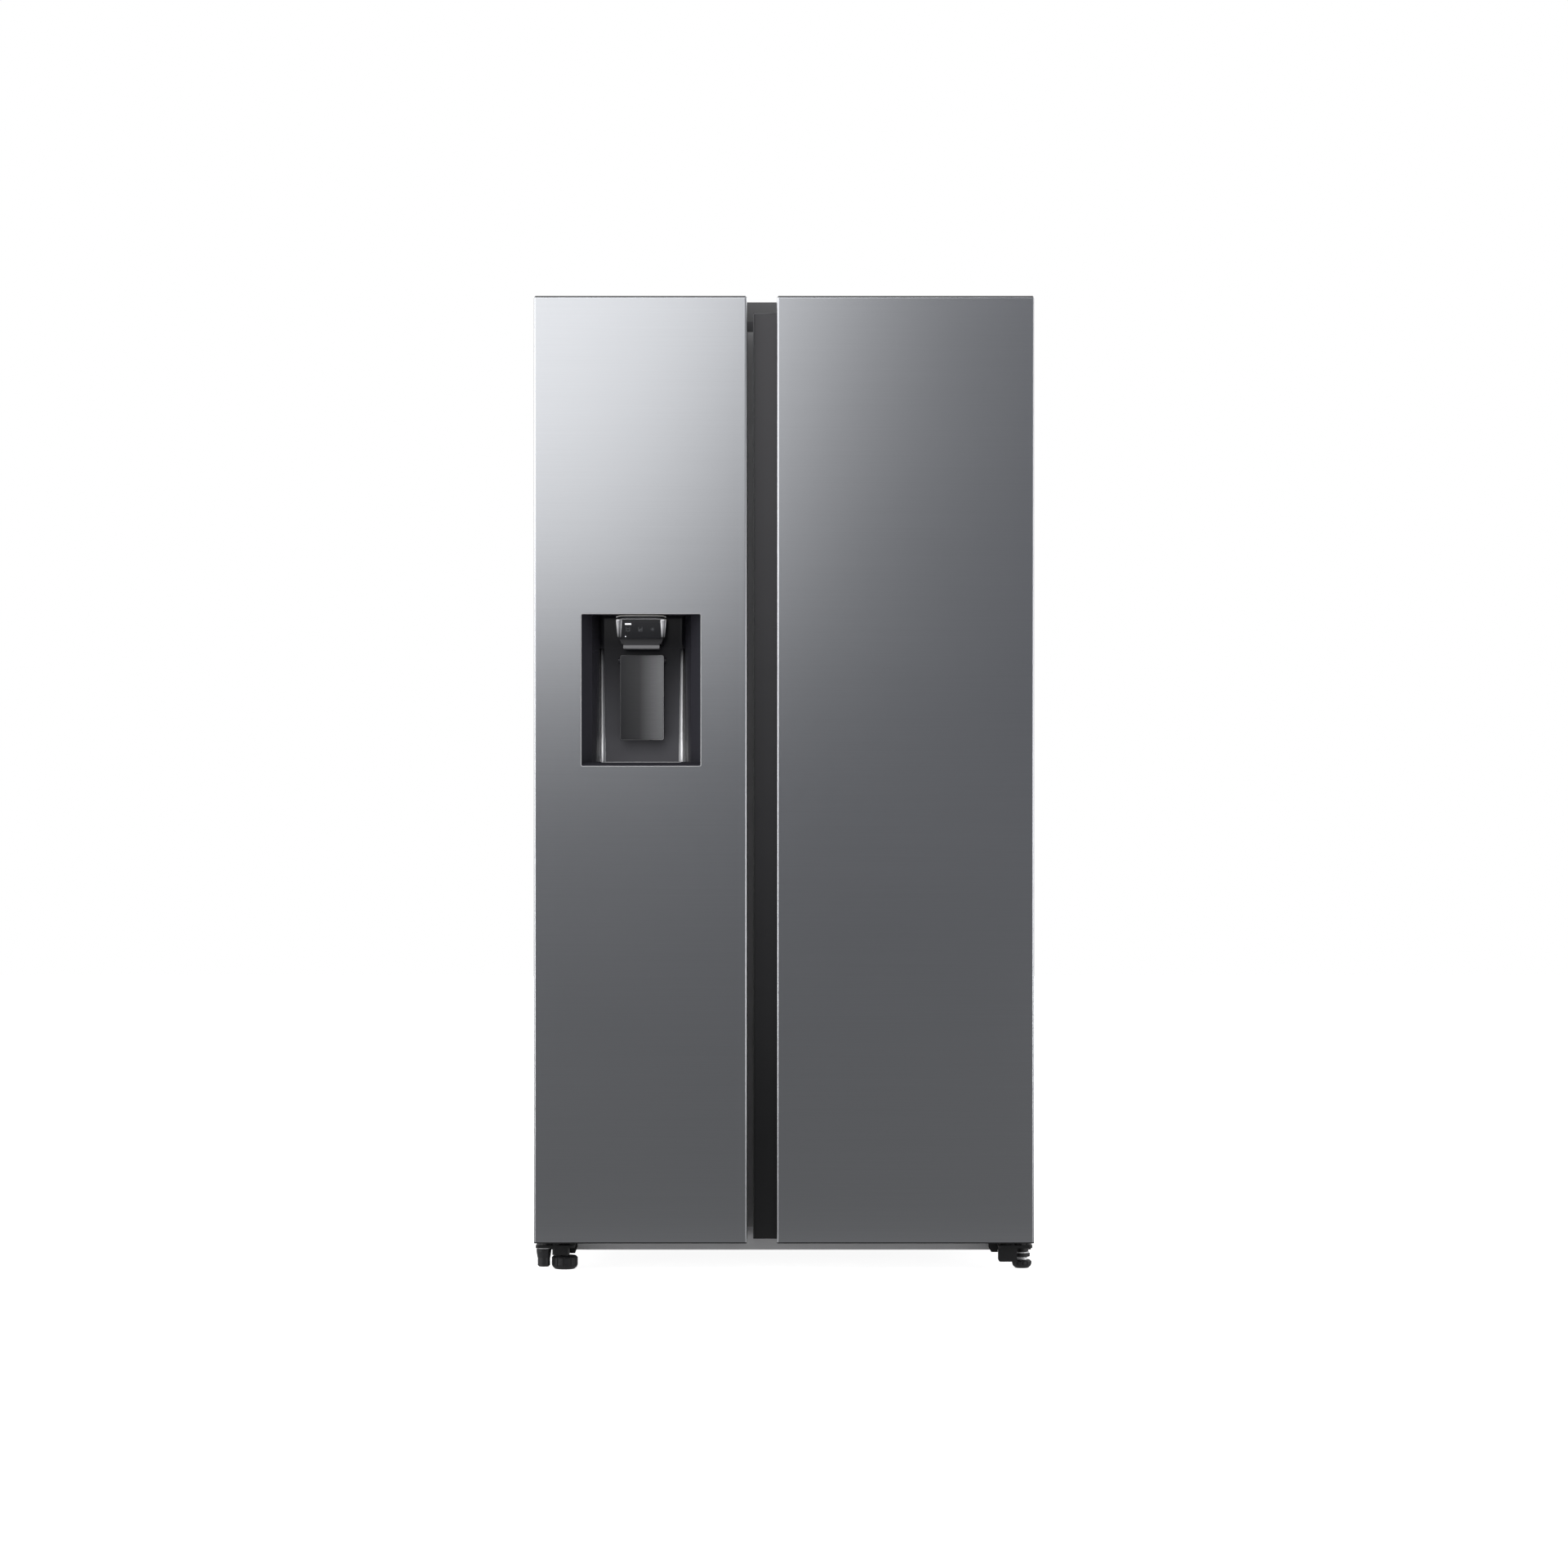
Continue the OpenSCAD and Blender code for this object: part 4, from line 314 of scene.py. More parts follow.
# sweep: one colour turns into another along an axis of the object
sweep, gin, gout = new_group(
    "sweep",
    [("Start Colour", COLOR, (0, 0, 0, 1)),
     ("End Colour", COLOR, (1, 1, 1, 1)),
     ("Axis", VECTOR, (1, 0, 0)),
     ("Start", FLOAT, 0.0),
     ("End", FLOAT, 1.0)],
    [("Colour", COLOR)])
n, link = sweep.nodes, sweep.links.new
coords = n.new("ShaderNodeTexCoord")
along = n.new("ShaderNodeVectorMath")
along.operation = "DOT_PRODUCT"
share = n.new("ShaderNodeMapRange")
blend = n.new("ShaderNodeMix")
blend.data_type = "RGBA"
link(coords.outputs["Object"], along.inputs[0])
link(gin.outputs["Axis"], along.inputs[1])
link(along.outputs["Value"], share.inputs["Value"])
link(gin.outputs["Start"], share.inputs["From Min"])
link(gin.outputs["End"], share.inputs["From Max"])
link(share.outputs[0], blend.inputs[0])
link(gin.outputs["Start Colour"], blend.inputs[6])
link(gin.outputs["End Colour"], blend.inputs[7])
link(blend.outputs[2], gout.inputs["Colour"])
print("groups:", [g.name for g in bpy.data.node_groups])

# %% [markdown]
# A finish places one of the groups in a material of its own and sets the rest on the
# Principled sockets. Bump distance is in metres, so it stays at the size of real grain.
# A turn sweeps the colour into another along an axis, between two places in metres.

# %% Finishes
def finish_of(name, group, colour, spread, roughness, size, bump,
              metallic=0.0, coat=0.0, turns=(), **sockets):
    material = bpy.data.materials.new(name)
    material.use_nodes = True
    nt = material.node_tree
    surface = nt.nodes["Principled BSDF"]
    pattern = nt.nodes.new("ShaderNodeGroup")
    pattern.node_tree = group
    for socket, value in zip(pattern.inputs, (tuple(colour) + (1,), spread, roughness, size)):
        socket.default_value = value
    for other, axis, start, end in turns:
        fade = nt.nodes.new("ShaderNodeGroup")
        fade.node_tree = sweep
        values = (tuple(colour) + (1,), tuple(other) + (1,), axis, start, end)
        for socket, value in zip(fade.inputs, values):
            socket.default_value = value
        if pattern.inputs["Colour"].is_linked:
            nt.links.new(pattern.inputs["Colour"].links[0].from_socket, fade.inputs["Start Colour"])
        nt.links.new(fade.outputs["Colour"], pattern.inputs["Colour"])
    relief = nt.nodes.new("ShaderNodeBump")
    relief.inputs["Distance"].default_value = bump
    relief.inputs["Strength"].default_value = 0.5
    nt.links.new(pattern.outputs["Colour"], surface.inputs["Base Color"])
    nt.links.new(pattern.outputs["Roughness"], surface.inputs["Roughness"])
    nt.links.new(pattern.outputs["Height"], relief.inputs["Height"])
    nt.links.new(relief.outputs[0], surface.inputs["Normal"])
    surface.inputs["Metallic"].default_value = metallic
    surface.inputs["Coat Weight"].default_value = coat
    for socket, value in sockets.items():
        surface.inputs[socket.replace("_", " ")].default_value = value
    return material


# the second steel colour is painted shade: the dim reflection along the doors' outer edges
STEEL, STEEL_EDGE_PAINTED_SHADE = (0.577, 0.588, 0.607), (0.25, 0.253, 0.26)
EDGE_FROM, EDGE_TO = 0.4545, 0.4550
RIGHT, LEFT = (1, 0, 0), (-1, 0, 0)
UP, DOWN = (0, 0, 1), (0, 0, -1)
FORWARD, BACKWARD = (0, -1, 0), (0, 1, 0)
# these have the names of the record's slots; the evaporator's is copper, and looks like aluminium
FINISH = {
    "stainless": finish_of("brushed_stainless", brushing, STEEL, 0.05, 0.305, 1400, 0.00002,
        metallic=1.0),
    "zinc": finish_of("zinc_plate", brushing, (0.55, 0.55, 0.53), 0.10, 0.42, 500, 0.00003,
        metallic=1.0),
    "copper": finish_of("bare_aluminium", brushing, (0.62, 0.62, 0.62), 0.10, 0.38, 400, 0.00003,
        metallic=1.0),
    "dark_paint": finish_of("charcoal_paint", grain, (0.075, 0.075, 0.08), 0.06, 0.42, 700, 0.00004),
    "grey_paint": finish_of("galvanised_grey", grain, (0.30, 0.30, 0.31), 0.10, 0.48, 260, 0.00003,
        metallic=0.4),
    "rail_paint": finish_of("rail_grey", grain, (0.62, 0.62, 0.63), 0.04, 0.40, 800, 0.00004),
    "black_metal": finish_of("black_enamel", grain, (0.012, 0.012, 0.013), 0.10, 0.42, 500, 0.00004),
    "black_plastic": finish_of("black_plastic", grain, (0.018, 0.018, 0.02), 0.10, 0.45, 1100, 0.00004),
    "dark_plastic": finish_of("charcoal_plastic", grain,
        (0.05, 0.05, 0.053), 0.08, 0.42, 1000, 0.00003),
    "grey_plastic": finish_of("grey_plastic", grain, (0.25, 0.25, 0.255), 0.06, 0.45, 900, 0.00003),
    "gloss_black": finish_of("gloss_black", grain, (0.006, 0.006, 0.007), 0.10, 0.10, 300, 0.000004,
        coat=0.6),
    "white_plastic": finish_of("white_liner", grain, (0.78, 0.79, 0.79), 0.02, 0.32, 600, 0.00001),
    "clear_plastic": finish_of("clear_plastic", grain, (0.95, 0.98, 0.99), 0.02, 0.10, 500, 0.000004,
        Transmission_Weight=0.6, IOR=1.3, Alpha=0.42),
    "glass": finish_of("shelf_glass", grain, (0.88, 0.97, 0.94), 0.01, 0.04, 200, 0.000002,
        Transmission_Weight=0.8, IOR=1.3, Alpha=0.5),
    "foam": finish_of("foam", grain, (0.70, 0.60, 0.36), 0.12, 0.9, 300, 0.0002),
    "rubber": finish_of("gasket_rubber", grain, (0.10, 0.10, 0.105), 0.08, 0.62, 900, 0.00003),
    "green_board": finish_of("green_board", grain, (0.02, 0.16, 0.06), 0.12, 0.35, 400, 0.00003),
    "blue_plastic": finish_of("blue_plastic", grain, (0.05, 0.13, 0.42), 0.08, 0.4, 900, 0.00003),
}
# these are for single nodes and for the new pieces
FINISH.update({
    # the door skin turns a darker grey on its outermost edge and its sides: painted shade for the dim
    # reflection along the rolled edge
    "door_skin": finish_of("door_skin", brushing, STEEL, 0.05, 0.305, 1400, 0.00002,
        metallic=1.0,
        turns=[(STEEL_EDGE_PAINTED_SHADE, RIGHT, EDGE_FROM, EDGE_TO), (STEEL_EDGE_PAINTED_SHADE, LEFT, EDGE_FROM, EDGE_TO)]),
    # the recess is one black plastic painted in shades: its back wall is painted light near the sill and
    # nearly black at the top, and its walls nearer the front an even dark grey: painted light and painted
    # shade
    "recess": finish_of("recess_painted_light_and_shade", grain, (0.128, 0.127, 0.138), 0.06, 0.17, 1300, 0.000006,
        turns=[((0.004, 0.0038, 0.0055), UP, 0.93, 1.15),
               ((0.0255, 0.025, 0.031), FORWARD, 0.2812, 0.290)],
        Specular_IOR_Level=0.35),
    "tube_and_coupler": finish_of("tube_and_coupler", grain,
        (0.02, 0.02, 0.022), 0.05, 0.35, 900, 0.00001,
        turns=[((0.72, 0.73, 0.74), BACKWARD, -0.281, -0.279)]),
    # the sill's lip wears this light grey too, where it is a painted highlight along the black sill's edge
    "trim_edge": finish_of("cut_steel_edge_and_lip_highlight", grain, (0.50, 0.50, 0.51), 0.03, 0.35, 1500, 0.000004,
        metallic=0.35),
    # the coves' bright metal colour is a painted highlight: brightest low down, darker above 0.94 m and
    # nearly black at the top
    "cove_painted_highlight": finish_of("cove_painted_highlight", grain, (0.72, 0.72, 0.73), 0.04, 0.33, 900, 0.000003,
        metallic=1.0,
        turns=[((0.20, 0.20, 0.205), UP, 0.94, 1.11), ((0.02, 0.02, 0.021), UP, 1.11, 1.138)]),
    # the frame's colour turns dark low down on the head's bands: painted shade that fades their highlights
    # out below
    "satin_chrome_painted_shade": finish_of("satin_chrome_painted_shade", brushing, (0.50, 0.50, 0.51), 0.04, 0.33, 1500, 0.00001,
        metallic=1.0, turns=[((0.10, 0.10, 0.103), DOWN, -1.180, -1.159)]),
    "spout_plastic": finish_of("spout_plastic", grain, (0.15, 0.15, 0.155), 0.06, 0.40, 1000, 0.00002,
        turns=[((0.020, 0.020, 0.022), UP, 1.1437, 1.1443)]),
    # the paddle's colour is painted lighter from left to right: a painted highlight
    "dark_brushed_painted_highlight": finish_of("dark_brushed_metal_painted_highlight", brushing,
        (0.055, 0.055, 0.058), 0.12, 0.34, 2200, 0.00002,
        metallic=0.9,
        turns=[((0.10, 0.10, 0.102), RIGHT, -0.3006, -0.2652),
               ((0.41, 0.41, 0.415), RIGHT, -0.2652, -0.2206)]),
    # the paddle's bead is painted lighter towards the right as well: a painted highlight
    "paddle_rim_painted_highlight": finish_of("paddle_rim_painted_highlight", brushing, (0.16, 0.16, 0.163), 0.05, 0.28, 1500, 0.00001,
        metallic=0.8, turns=[((0.42, 0.42, 0.425), RIGHT, -0.30, -0.2206)]),
    "bright_thread": finish_of("bright_thread", brushing, (0.88, 0.88, 0.89), 0.04, 0.30, 900, 0.00001,
        metallic=0.45),
    # the grip is painted lighter towards its top: painted light, as from above
    "grip_black_painted_light": finish_of("grip_black_painted_light", grain, (0.012, 0.012, 0.013), 0.06, 0.40, 1000, 0.00002,
        turns=[((0.075, 0.073, 0.078), UP, 0.25, 1.75)]),
    # the grip's rim is lighter than the bar and painted lighter towards its top: a painted highlight on its
    # edge
    "grip_rim_painted_highlight": finish_of("grip_rim_painted_highlight", grain, (0.06, 0.06, 0.062), 0.05, 0.35, 1000, 0.00001,
        turns=[((0.19, 0.19, 0.195), UP, 0.25, 1.75)]),
    # the mullion strip is painted lighter towards its top: painted light
    "mullion_grey_painted_light": finish_of("mullion_grey_painted_light", grain, (0.42, 0.42, 0.425), 0.04, 0.42, 800, 0.00003,
        turns=[((0.70, 0.70, 0.71), UP, 0.3, 1.7)]),
    # the bottom end caps are painted darker than the top ones: painted shade under the doors
    "cap_plastic_painted_shade": finish_of("cap_plastic_painted_shade", grain, (0.010, 0.010, 0.011), 0.06, 0.42, 1000, 0.00003,
        turns=[((0.055, 0.055, 0.058), UP, 0.06, 0.12)]),
    "cover_grey": finish_of("cover_grey", grain, (0.125, 0.125, 0.128), 0.06, 0.42, 900, 0.00003),
    "lit_white": finish_of("lit_mark", grain, (0.85, 0.86, 0.88), 0.02, 0.5, 900, 0.000002,
        Emission_Color=(0.9, 0.92, 0.95, 1), Emission_Strength=0.25),
    # the lever's own black, made darker and duller than the other plastics so that its edges round the paddle
    # read as the paddle's shadow: partly a painted shadow
    "deep_black_painted_shadow": finish_of("deep_black_painted_shadow", grain, (0.004, 0.004, 0.004), 0.05, 0.6, 1000, 0.00002,
        Specular_IOR_Level=0.15),
    "lit_cover": finish_of("lit_cover", grain, (0.90, 0.91, 0.92), 0.01, 0.35, 700, 0.00001,
        Emission_Color=(1, 0.98, 0.94, 1), Emission_Strength=5),
    "dim_mark": finish_of("printed_mark", grain, (0.09, 0.095, 0.10), 0.05, 0.45, 900, 0.000002),
})
slot_of = {part["node"]: part["material_slot"] for part in frame["record"]["subparts"]}
own_finish = {
    "dispenser_housing": "recess",
    "water_line": "tube_and_coupler",
    "dispenser_spout": "spout_plastic",
    "dispenser_lever": "deep_black_painted_shadow",
    "fridge_door_grip": "grip_black_painted_light",
    "mullion_cover": "mullion_grey_painted_light",
    "top_cover": "cover_grey",
    "lamp_covers": "lit_cover",
    "freezer_door_caps": "cap_plastic_painted_shade",
    "fridge_door_caps": "cap_plastic_painted_shade",
}
for name, node in nodes.items():
    finish = FINISH[own_finish.get(name, slot_of[name])]
    if not node.material_slots:
        node.data.materials.append(finish)
    for material_slot in node.material_slots:
        material_slot.material = finish
print("finishes:", len(FINISH), "on", len(nodes), "nodes")

# %% [markdown]
# ## Helpers for new pieces
# A piece is plain mesh data in millimetres, turned into metres once, so its object stays at
# the origin. Rings of points are joined into a closed skin, which suits trims, beads and discs.

# %% Helpers
MM = 0.001


def piece(name, points, faces, finish, body, smooth=False):
    """A new object from points in millimetres, riding on a body."""
    mesh = bpy.data.meshes.new(name)
    mesh.from_pydata([[c * MM for c in p] for p in points], [], faces)
    mesh.materials.append(finish)
    bm = bmesh.new()
    bm.from_mesh(mesh)
    bmesh.ops.remove_doubles(bm, verts=bm.verts, dist=1e-6)
    bmesh.ops.recalc_face_normals(bm, faces=bm.faces)
    bm.to_mesh(mesh)
    bm.free()
    for polygon in mesh.polygons:
        polygon.use_smooth = smooth and len(polygon.vertices) <= 4
    obj = bpy.data.objects.new(name, mesh)
    scene.collection.objects.link(obj)
    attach(obj, body)
    return obj


def skin(rings, closed=False, capped=True):
    """Faces that join equal rings one after the other."""
    n = len(rings[0])
    points = [p for ring in rings for p in ring]
    faces = []
    steps = len(rings) if closed else len(rings) - 1
    for i in range(steps):
        a, b = i * n, ((i + 1) % len(rings)) * n
        faces += [(a + j, a + (j + 1) % n, b + (j + 1) % n, b + j) for j in range(n)]
    if capped and not closed:
        faces += [tuple(range(n)), tuple(range(len(points) - n, len(points)))]
    return points, faces


def bead(path, radius, sides=8, closed=False):
    """A round bead that follows a path, as rings square to it."""
    rings = []
    count = len(path)
    for i, p in enumerate(path):
        before = Vector(path[(i - 1) % count] if closed or i else path[0])
        after = Vector(path[(i + 1) % count] if closed or i < count - 1 else path[-1])
        along = (after - before).normalized()
        across = along.cross(Vector((0, 1, 0))).normalized()
        up = along.cross(across)
        r = radius(i / max(count - 1, 1)) if callable(radius) else radius
        rings.append([tuple(Vector(p) + across * r * math.cos(t) + up * r * math.sin(t))
                      for t in (2 * math.pi * k / sides for k in range(sides))])
    return skin(rings, closed, not closed)


def rounded(x0, z0, x1, z1, r, steps=5):
    """Points round a rectangle with round corners, as (x, z)."""
    out = []
    corners = ((x1 - r, z1 - r, 0), (x0 + r, z1 - r, 90), (x0 + r, z0 + r, 180), (x1 - r, z0 + r, 270))
    for cx, cz, start in corners:
        for k in range(steps + 1):
            t = math.radians(start + 90 * k / steps)
            out.append((cx + r * math.cos(t), cz + r * math.sin(t)))
    return out


# places that the dispenser's pieces share: its middle, its bottom and top, and the doors' face
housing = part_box("dispenser_housing")
HX = (housing[0][0] + housing[1][0]) / 2 / MM
HZ0, HZ1 = housing[0][2] / MM, housing[1][2] / MM
FRONT = cad_box[0][1] / MM
print("dispenser middle", round(HX, 1), "from", round(HZ0, 1), "to", round(HZ1, 1))
print("front plane", round(FRONT, 1))

# %% [markdown]
# ## Door skins and end caps
# The top edge of each steel skin is folded over a small radius, and the top corners of each
# door are cut off by 3 mm. The model has sharp edges there, so both skins and both pairs of
# end caps are copied. The skins are rolled back in small steps, and all four are trimmed at
# the corners, the skins a little less than the caps.

# %% Rolled and trimmed doors
CORNER_CUT = 3.0
SKIN_LESS = 0.9
ROLL_HEIGHT, ROLL_DEPTH = 1.9, 0.62


def cut_plane(bm, place, normal, clear=False):
    """Cut a mesh by a plane, and clear what lies on the side of its normal if asked."""
    bmesh.ops.bisect_plane(bm, geom=bm.verts[:] + bm.edges[:] + bm.faces[:], dist=1e-7,
                           clear_outer=clear, plane_co=place, plane_no=normal)


def roll_top(bm, top):
    """Lean the top of the face back in three steps."""
    for drop in (ROLL_HEIGHT, 1.2, 0.5):
        cut_plane(bm, (0, 0, top - drop * MM), (0, 0, 1))
    for v in bm.verts:
        if v.co.y < (FRONT + 0.05) * MM and v.co.z > top - 1.5 * MM:
            over = min(1.0, (v.co.z - top + ROLL_HEIGHT * MM) / (ROLL_HEIGHT * MM))
            v.co.y += ROLL_DEPTH * MM * over ** 1.7


def trim_corners(bm, top, ends, cut):
    """Cut both top corners off at 45 degrees and close the cuts."""
    for end, side in zip(ends, (-1, 1)):
        cut_plane(bm, (end - side * cut * MM, 0, top), (side, 0, 1), clear=True)
        bmesh.ops.edgeloop_fill(bm, edges=[edge for edge in bm.edges if edge.is_boundary])


def dressed(name, node_name, mesh, finish, body):
    """Put a changed mesh in the place of its node."""
    mesh.materials.clear()
    mesh.materials.append(finish)
    obj = bpy.data.objects.new(name, mesh)
    scene.collection.objects.link(obj)
    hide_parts(node_name)
    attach(obj, body)
    return obj


def trimmed_door(node_name, label, finish, body, is_skin=False):
    """A copy of a skin or of a pair of end caps with its top corners cut off."""
    mesh = nodes[node_name].data.copy()
    mesh.name = node_name + label
    bm = bmesh.new()
    bm.from_mesh(mesh)
    bmesh.ops.remove_doubles(bm, verts=bm.verts, dist=1e-6)
    top = max(v.co.z for v in bm.verts)
    ends = [pick(v.co.x for v in bm.verts) for pick in (min, max)]
    if is_skin:
        roll_top(bm, top)
        trim_corners(bm, top, ends, CORNER_CUT - SKIN_LESS)
    else:
        trim_corners(bm, top, ends, CORNER_CUT)
    bmesh.ops.triangulate(bm, faces=bm.faces)
    open_edges = sum(1 for edge in bm.edges if not edge.is_manifold)
    bm.to_mesh(mesh)
    bm.free()
    for polygon in mesh.polygons:
        polygon.use_smooth = max(abs(c) for c in polygon.normal) < 0.9999
    obj = dressed(node_name + label, node_name, mesh, finish, body)
    print(obj.name, "faces:", len(mesh.polygons), "open edges:", open_edges)


for body in ("freezer_door", "fridge_door"):
    trimmed_door(body + "_panel", "_rolled", FINISH["door_skin"], body, is_skin=True)
    trimmed_door(body + "_caps", "_trimmed", FINISH["cap_plastic_painted_shade"], body)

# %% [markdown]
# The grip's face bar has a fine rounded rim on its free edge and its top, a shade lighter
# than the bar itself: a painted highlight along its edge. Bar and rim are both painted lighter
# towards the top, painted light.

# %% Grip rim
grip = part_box("fridge_door_grip")
GX0, GZ0, GZ1 = grip[0][0] / MM, grip[0][2] / MM, grip[1][2] / MM
GRIP_Y, GRIP_R = -318.0, 0.9
RIM_X, RIM_Y, TURN_R = GX0 + GRIP_R, GRIP_Y + 0.25, 2.4
rim_path = [(RIM_X, RIM_Y, GZ0 + 3), (RIM_X, RIM_Y, GZ1 - 3)]
rim_path += [(RIM_X + TURN_R * (1 - math.cos(a)), RIM_Y, GZ1 - 3.4 + TURN_R * math.sin(a))
             for a in (0.4, 0.8, 1.2, 1.57)]
rim_path += [(GX0 + 38, RIM_Y, GZ1 - 1.0)]
points, faces = bead(rim_path, GRIP_R)
piece("grip_rim_painted_highlight", points, faces, FINISH["grip_rim_painted_highlight"], "fridge_door", smooth=True)
print("grip box:", [[round(c / MM, 1) for c in corner] for corner in grip])

# %% [markdown]
# ## Ice and water dispenser
# The recess is the same shell as in the model, with its front rim set back by 0.8 mm and each
# back corner moved 6 mm outwards. The foam round it is a copy with the same wider pocket.
# The cut edge of the steel skin turns over the rim as a bright bead, all the way round.

# %% Recess shell and bright edge
SPREAD = 6.0
RIM_BACK = 0.8
RECESS_DEPTH = 78
BEND_FROM, BEND_TO = 55, 113


def widened(name, node_name, finish, rim_back=0):
    """A copy of a node with the recess's back corners moved apart and its front rim set back."""
    mesh = nodes[node_name].data.copy()
    mesh.name = name
    for vertex in mesh.vertices:
        x, y, z = (c / MM for c in vertex.co)
        if rim_back and y < FRONT + 0.3:
            vertex.co.y = (FRONT + rim_back) * MM
        aside = x - HX
        in_height = HZ0 - 4 < z < HZ1 + 4
        if BEND_FROM < abs(aside) < BEND_TO and in_height and y < FRONT + RECESS_DEPTH + 6:
            share = min(1, max(0, y - FRONT) / RECESS_DEPTH) * min(1, (abs(aside) - BEND_FROM) / 12)
            vertex.co.x += math.copysign(SPREAD * share, aside) * MM
    return dressed(name, node_name, mesh, finish, "freezer_door")


recess_shell = widened("recess_shell", "dispenser_housing", FINISH["recess"], RIM_BACK)
recess_foam = widened("recess_foam", "freezer_door_foam", FINISH["foam"])
OPEN_W, OPEN_R, BEAD_R = 110.3, 3.0, 0.9
outline = rounded(-OPEN_W + BEAD_R, HZ0 + BEAD_R, OPEN_W - BEAD_R, HZ1 - BEAD_R, OPEN_R)
edge_path = [(HX + x, FRONT + BEAD_R + 0.05, z) for x, z in outline]
points, faces = bead(edge_path, BEAD_R, closed=True)
piece("opening_edge", points, faces, FINISH["trim_edge"], "freezer_door", smooth=True)
print("shell and foam:", len(recess_shell.data.polygons), len(recess_foam.data.polygons), "faces")

# %% [markdown]
# Each back corner of the recess is a cove. Its radius grows downwards, so the upright
# highlight starts as a hair line under the head and widens towards the sill. Its bright metal
# colour is a painted highlight, brightest low down and nearly black at the top. The levels close
# to both ends keep the end caps from darkening the shading.

# %% Corner coves
CORNER_X, LEAN = 70.15 + SPREAD, math.radians(19.4)
BACK = FRONT + RECESS_DEPTH
COVE_TOP, COVE_HEIGHT = 1140, 208.5
COVE_R, COVE_GROWTH = 7.5, 6.0
COVE_STEPS, ARC_STEPS = 14, 12
for label, side in (("left", -1), ("right", 1)):
    rings = []
    for t in [0, 0.002] + [k / COVE_STEPS for k in range(1, COVE_STEPS)] + [0.998, 1]:
        z = COVE_TOP - t * COVE_HEIGHT
        radius = COVE_R + COVE_GROWTH * t ** 0.7
        reach = radius / math.tan((math.pi / 2 + LEAN) / 2)
        centre_x, centre_y = CORNER_X - reach, BACK - 0.35 - radius
        arc = []
        for m in range(ARC_STEPS + 1):
            a = (math.pi / 2 - LEAN) * m / ARC_STEPS
            x, y = centre_x + radius * math.sin(a), centre_y + radius * math.cos(a)
            arc.append((HX + side * x, y, z))
        arc.append((HX + side * (CORNER_X + 0.2), BACK - 0.1, z))
        rings.append(arc)
    points, faces = skin(rings)
    piece("corner_cove_" + label, points, faces, FINISH["cove_painted_highlight"], "freezer_door",
          smooth=True)
print("coves:", len(rings), "levels")

# %% [markdown]
# The sill has a rounded lip that turns up a little at both ends. Its light grey, far lighter
# than the black sill, is a painted highlight along the sill's edge.

# %% Sill lip
LIP_Y, LIP_X, LIP_R = FRONT + 12.2, HX - 74, 0.6
lip = [(LIP_X - 0.5, LIP_Y, HZ0 + 14)]
lip += [(LIP_X + 3 * (1 - math.cos(t)), LIP_Y, HZ0 + 8.4 + 4 * (1 - math.sin(t)))
        for t in (0.4, 0.8, 1.2, 1.57)]
lip = lip + [(2 * HX - x, y, z) for x, y, z in reversed(lip)]
points, faces = bead(lip, LIP_R)
sill_lip = piece("sill_lip", points, faces, FINISH["trim_edge"], "freezer_door", smooth=True)
print("sill lip:", len(sill_lip.data.polygons), "faces")

# %% [markdown]
# The head wears a satin frame: wide on its sides, a thin line and a curved strip on top, open
# below. Its bands taper downwards and bulge a little, so each catches a highlight that fades
# to one side. The bands are also painted darker towards their bottom, painted shade that fades
# their highlights out below.

# %% Head frame
HEAD_Y = FRONT + 8
TOP, BOTTOM = HZ1 - 9.5, HZ1 - 45.5
HEAD_HALF, BAND_W = 46, 11.3
SIDE_TAPER, WINDOW_TAPER = 3.0, 4.9
BAND_STEPS, BULGE = 12, 1.6


def band(side):
    """One side band of the frame, as cross sections from the top down."""
    rings = []
    for k in range(BAND_STEPS + 1):
        t = k / BAND_STEPS
        z = TOP - 1.2 - t * (TOP - BOTTOM - 1.6)
        outer = HEAD_HALF - SIDE_TAPER * t
        inner = HEAD_HALF - BAND_W + (WINDOW_TAPER - SIDE_TAPER) * t + 0.2
        ring = []
        for u in (0, 0.15, 0.35, 0.55, 0.75, 0.9, 1):
            x = outer + (inner - outer) * u
            bulge = BULGE * math.sin(math.pi * min(1, 0.12 + u * 0.88)) ** 0.8
            ring.append((HX + side * x, HEAD_Y - 0.2 - bulge, z))
        ring += [(HX + side * inner, HEAD_Y + 0.4, z), (HX + side * outer, HEAD_Y + 0.4, z)]
        rings.append(ring)
    return skin(rings)


for label, side in (("left", -1), ("right", 1)):
    points, faces = band(side)
    piece("head_band_" + label, points, faces, FINISH["satin_chrome_painted_shade"], "freezer_door",
          smooth=True)

# the line and the strip both droop towards their ends
SPAN_STEPS = 24
LINE_HALF, STRIP_HALF = 45.2, 45.4
top_line = []
for k in range(SPAN_STEPS + 1):
    x = LINE_HALF * (2 * k / SPAN_STEPS - 1)
    top_line.append((HX + x, HEAD_Y - 0.5, TOP - 1.0 - 1.6 * (abs(x) / 45.5) ** 8))
points, faces = bead(top_line, 0.9)
piece("head_top_line", points, faces, FINISH["satin_chrome_painted_shade"], "freezer_door", smooth=True)
STRIP_SECTION = ((-2.6, -1.4), (-3.4, -0.6), (-3.2, 0.9), (-1.6, 1.3), (-1.0, -1.4))
strip = []
for k in range(SPAN_STEPS + 1):
    x = STRIP_HALF * (2 * k / SPAN_STEPS - 1)
    off = abs(x) / STRIP_HALF
    drop = 1.3 * off ** 4 + 1.5 * off ** 16
    strip.append([(HX + x, HEAD_Y + dy, HZ1 - 4.2 - drop + dz) for dy, dz in STRIP_SECTION])
points, faces = skin(strip)
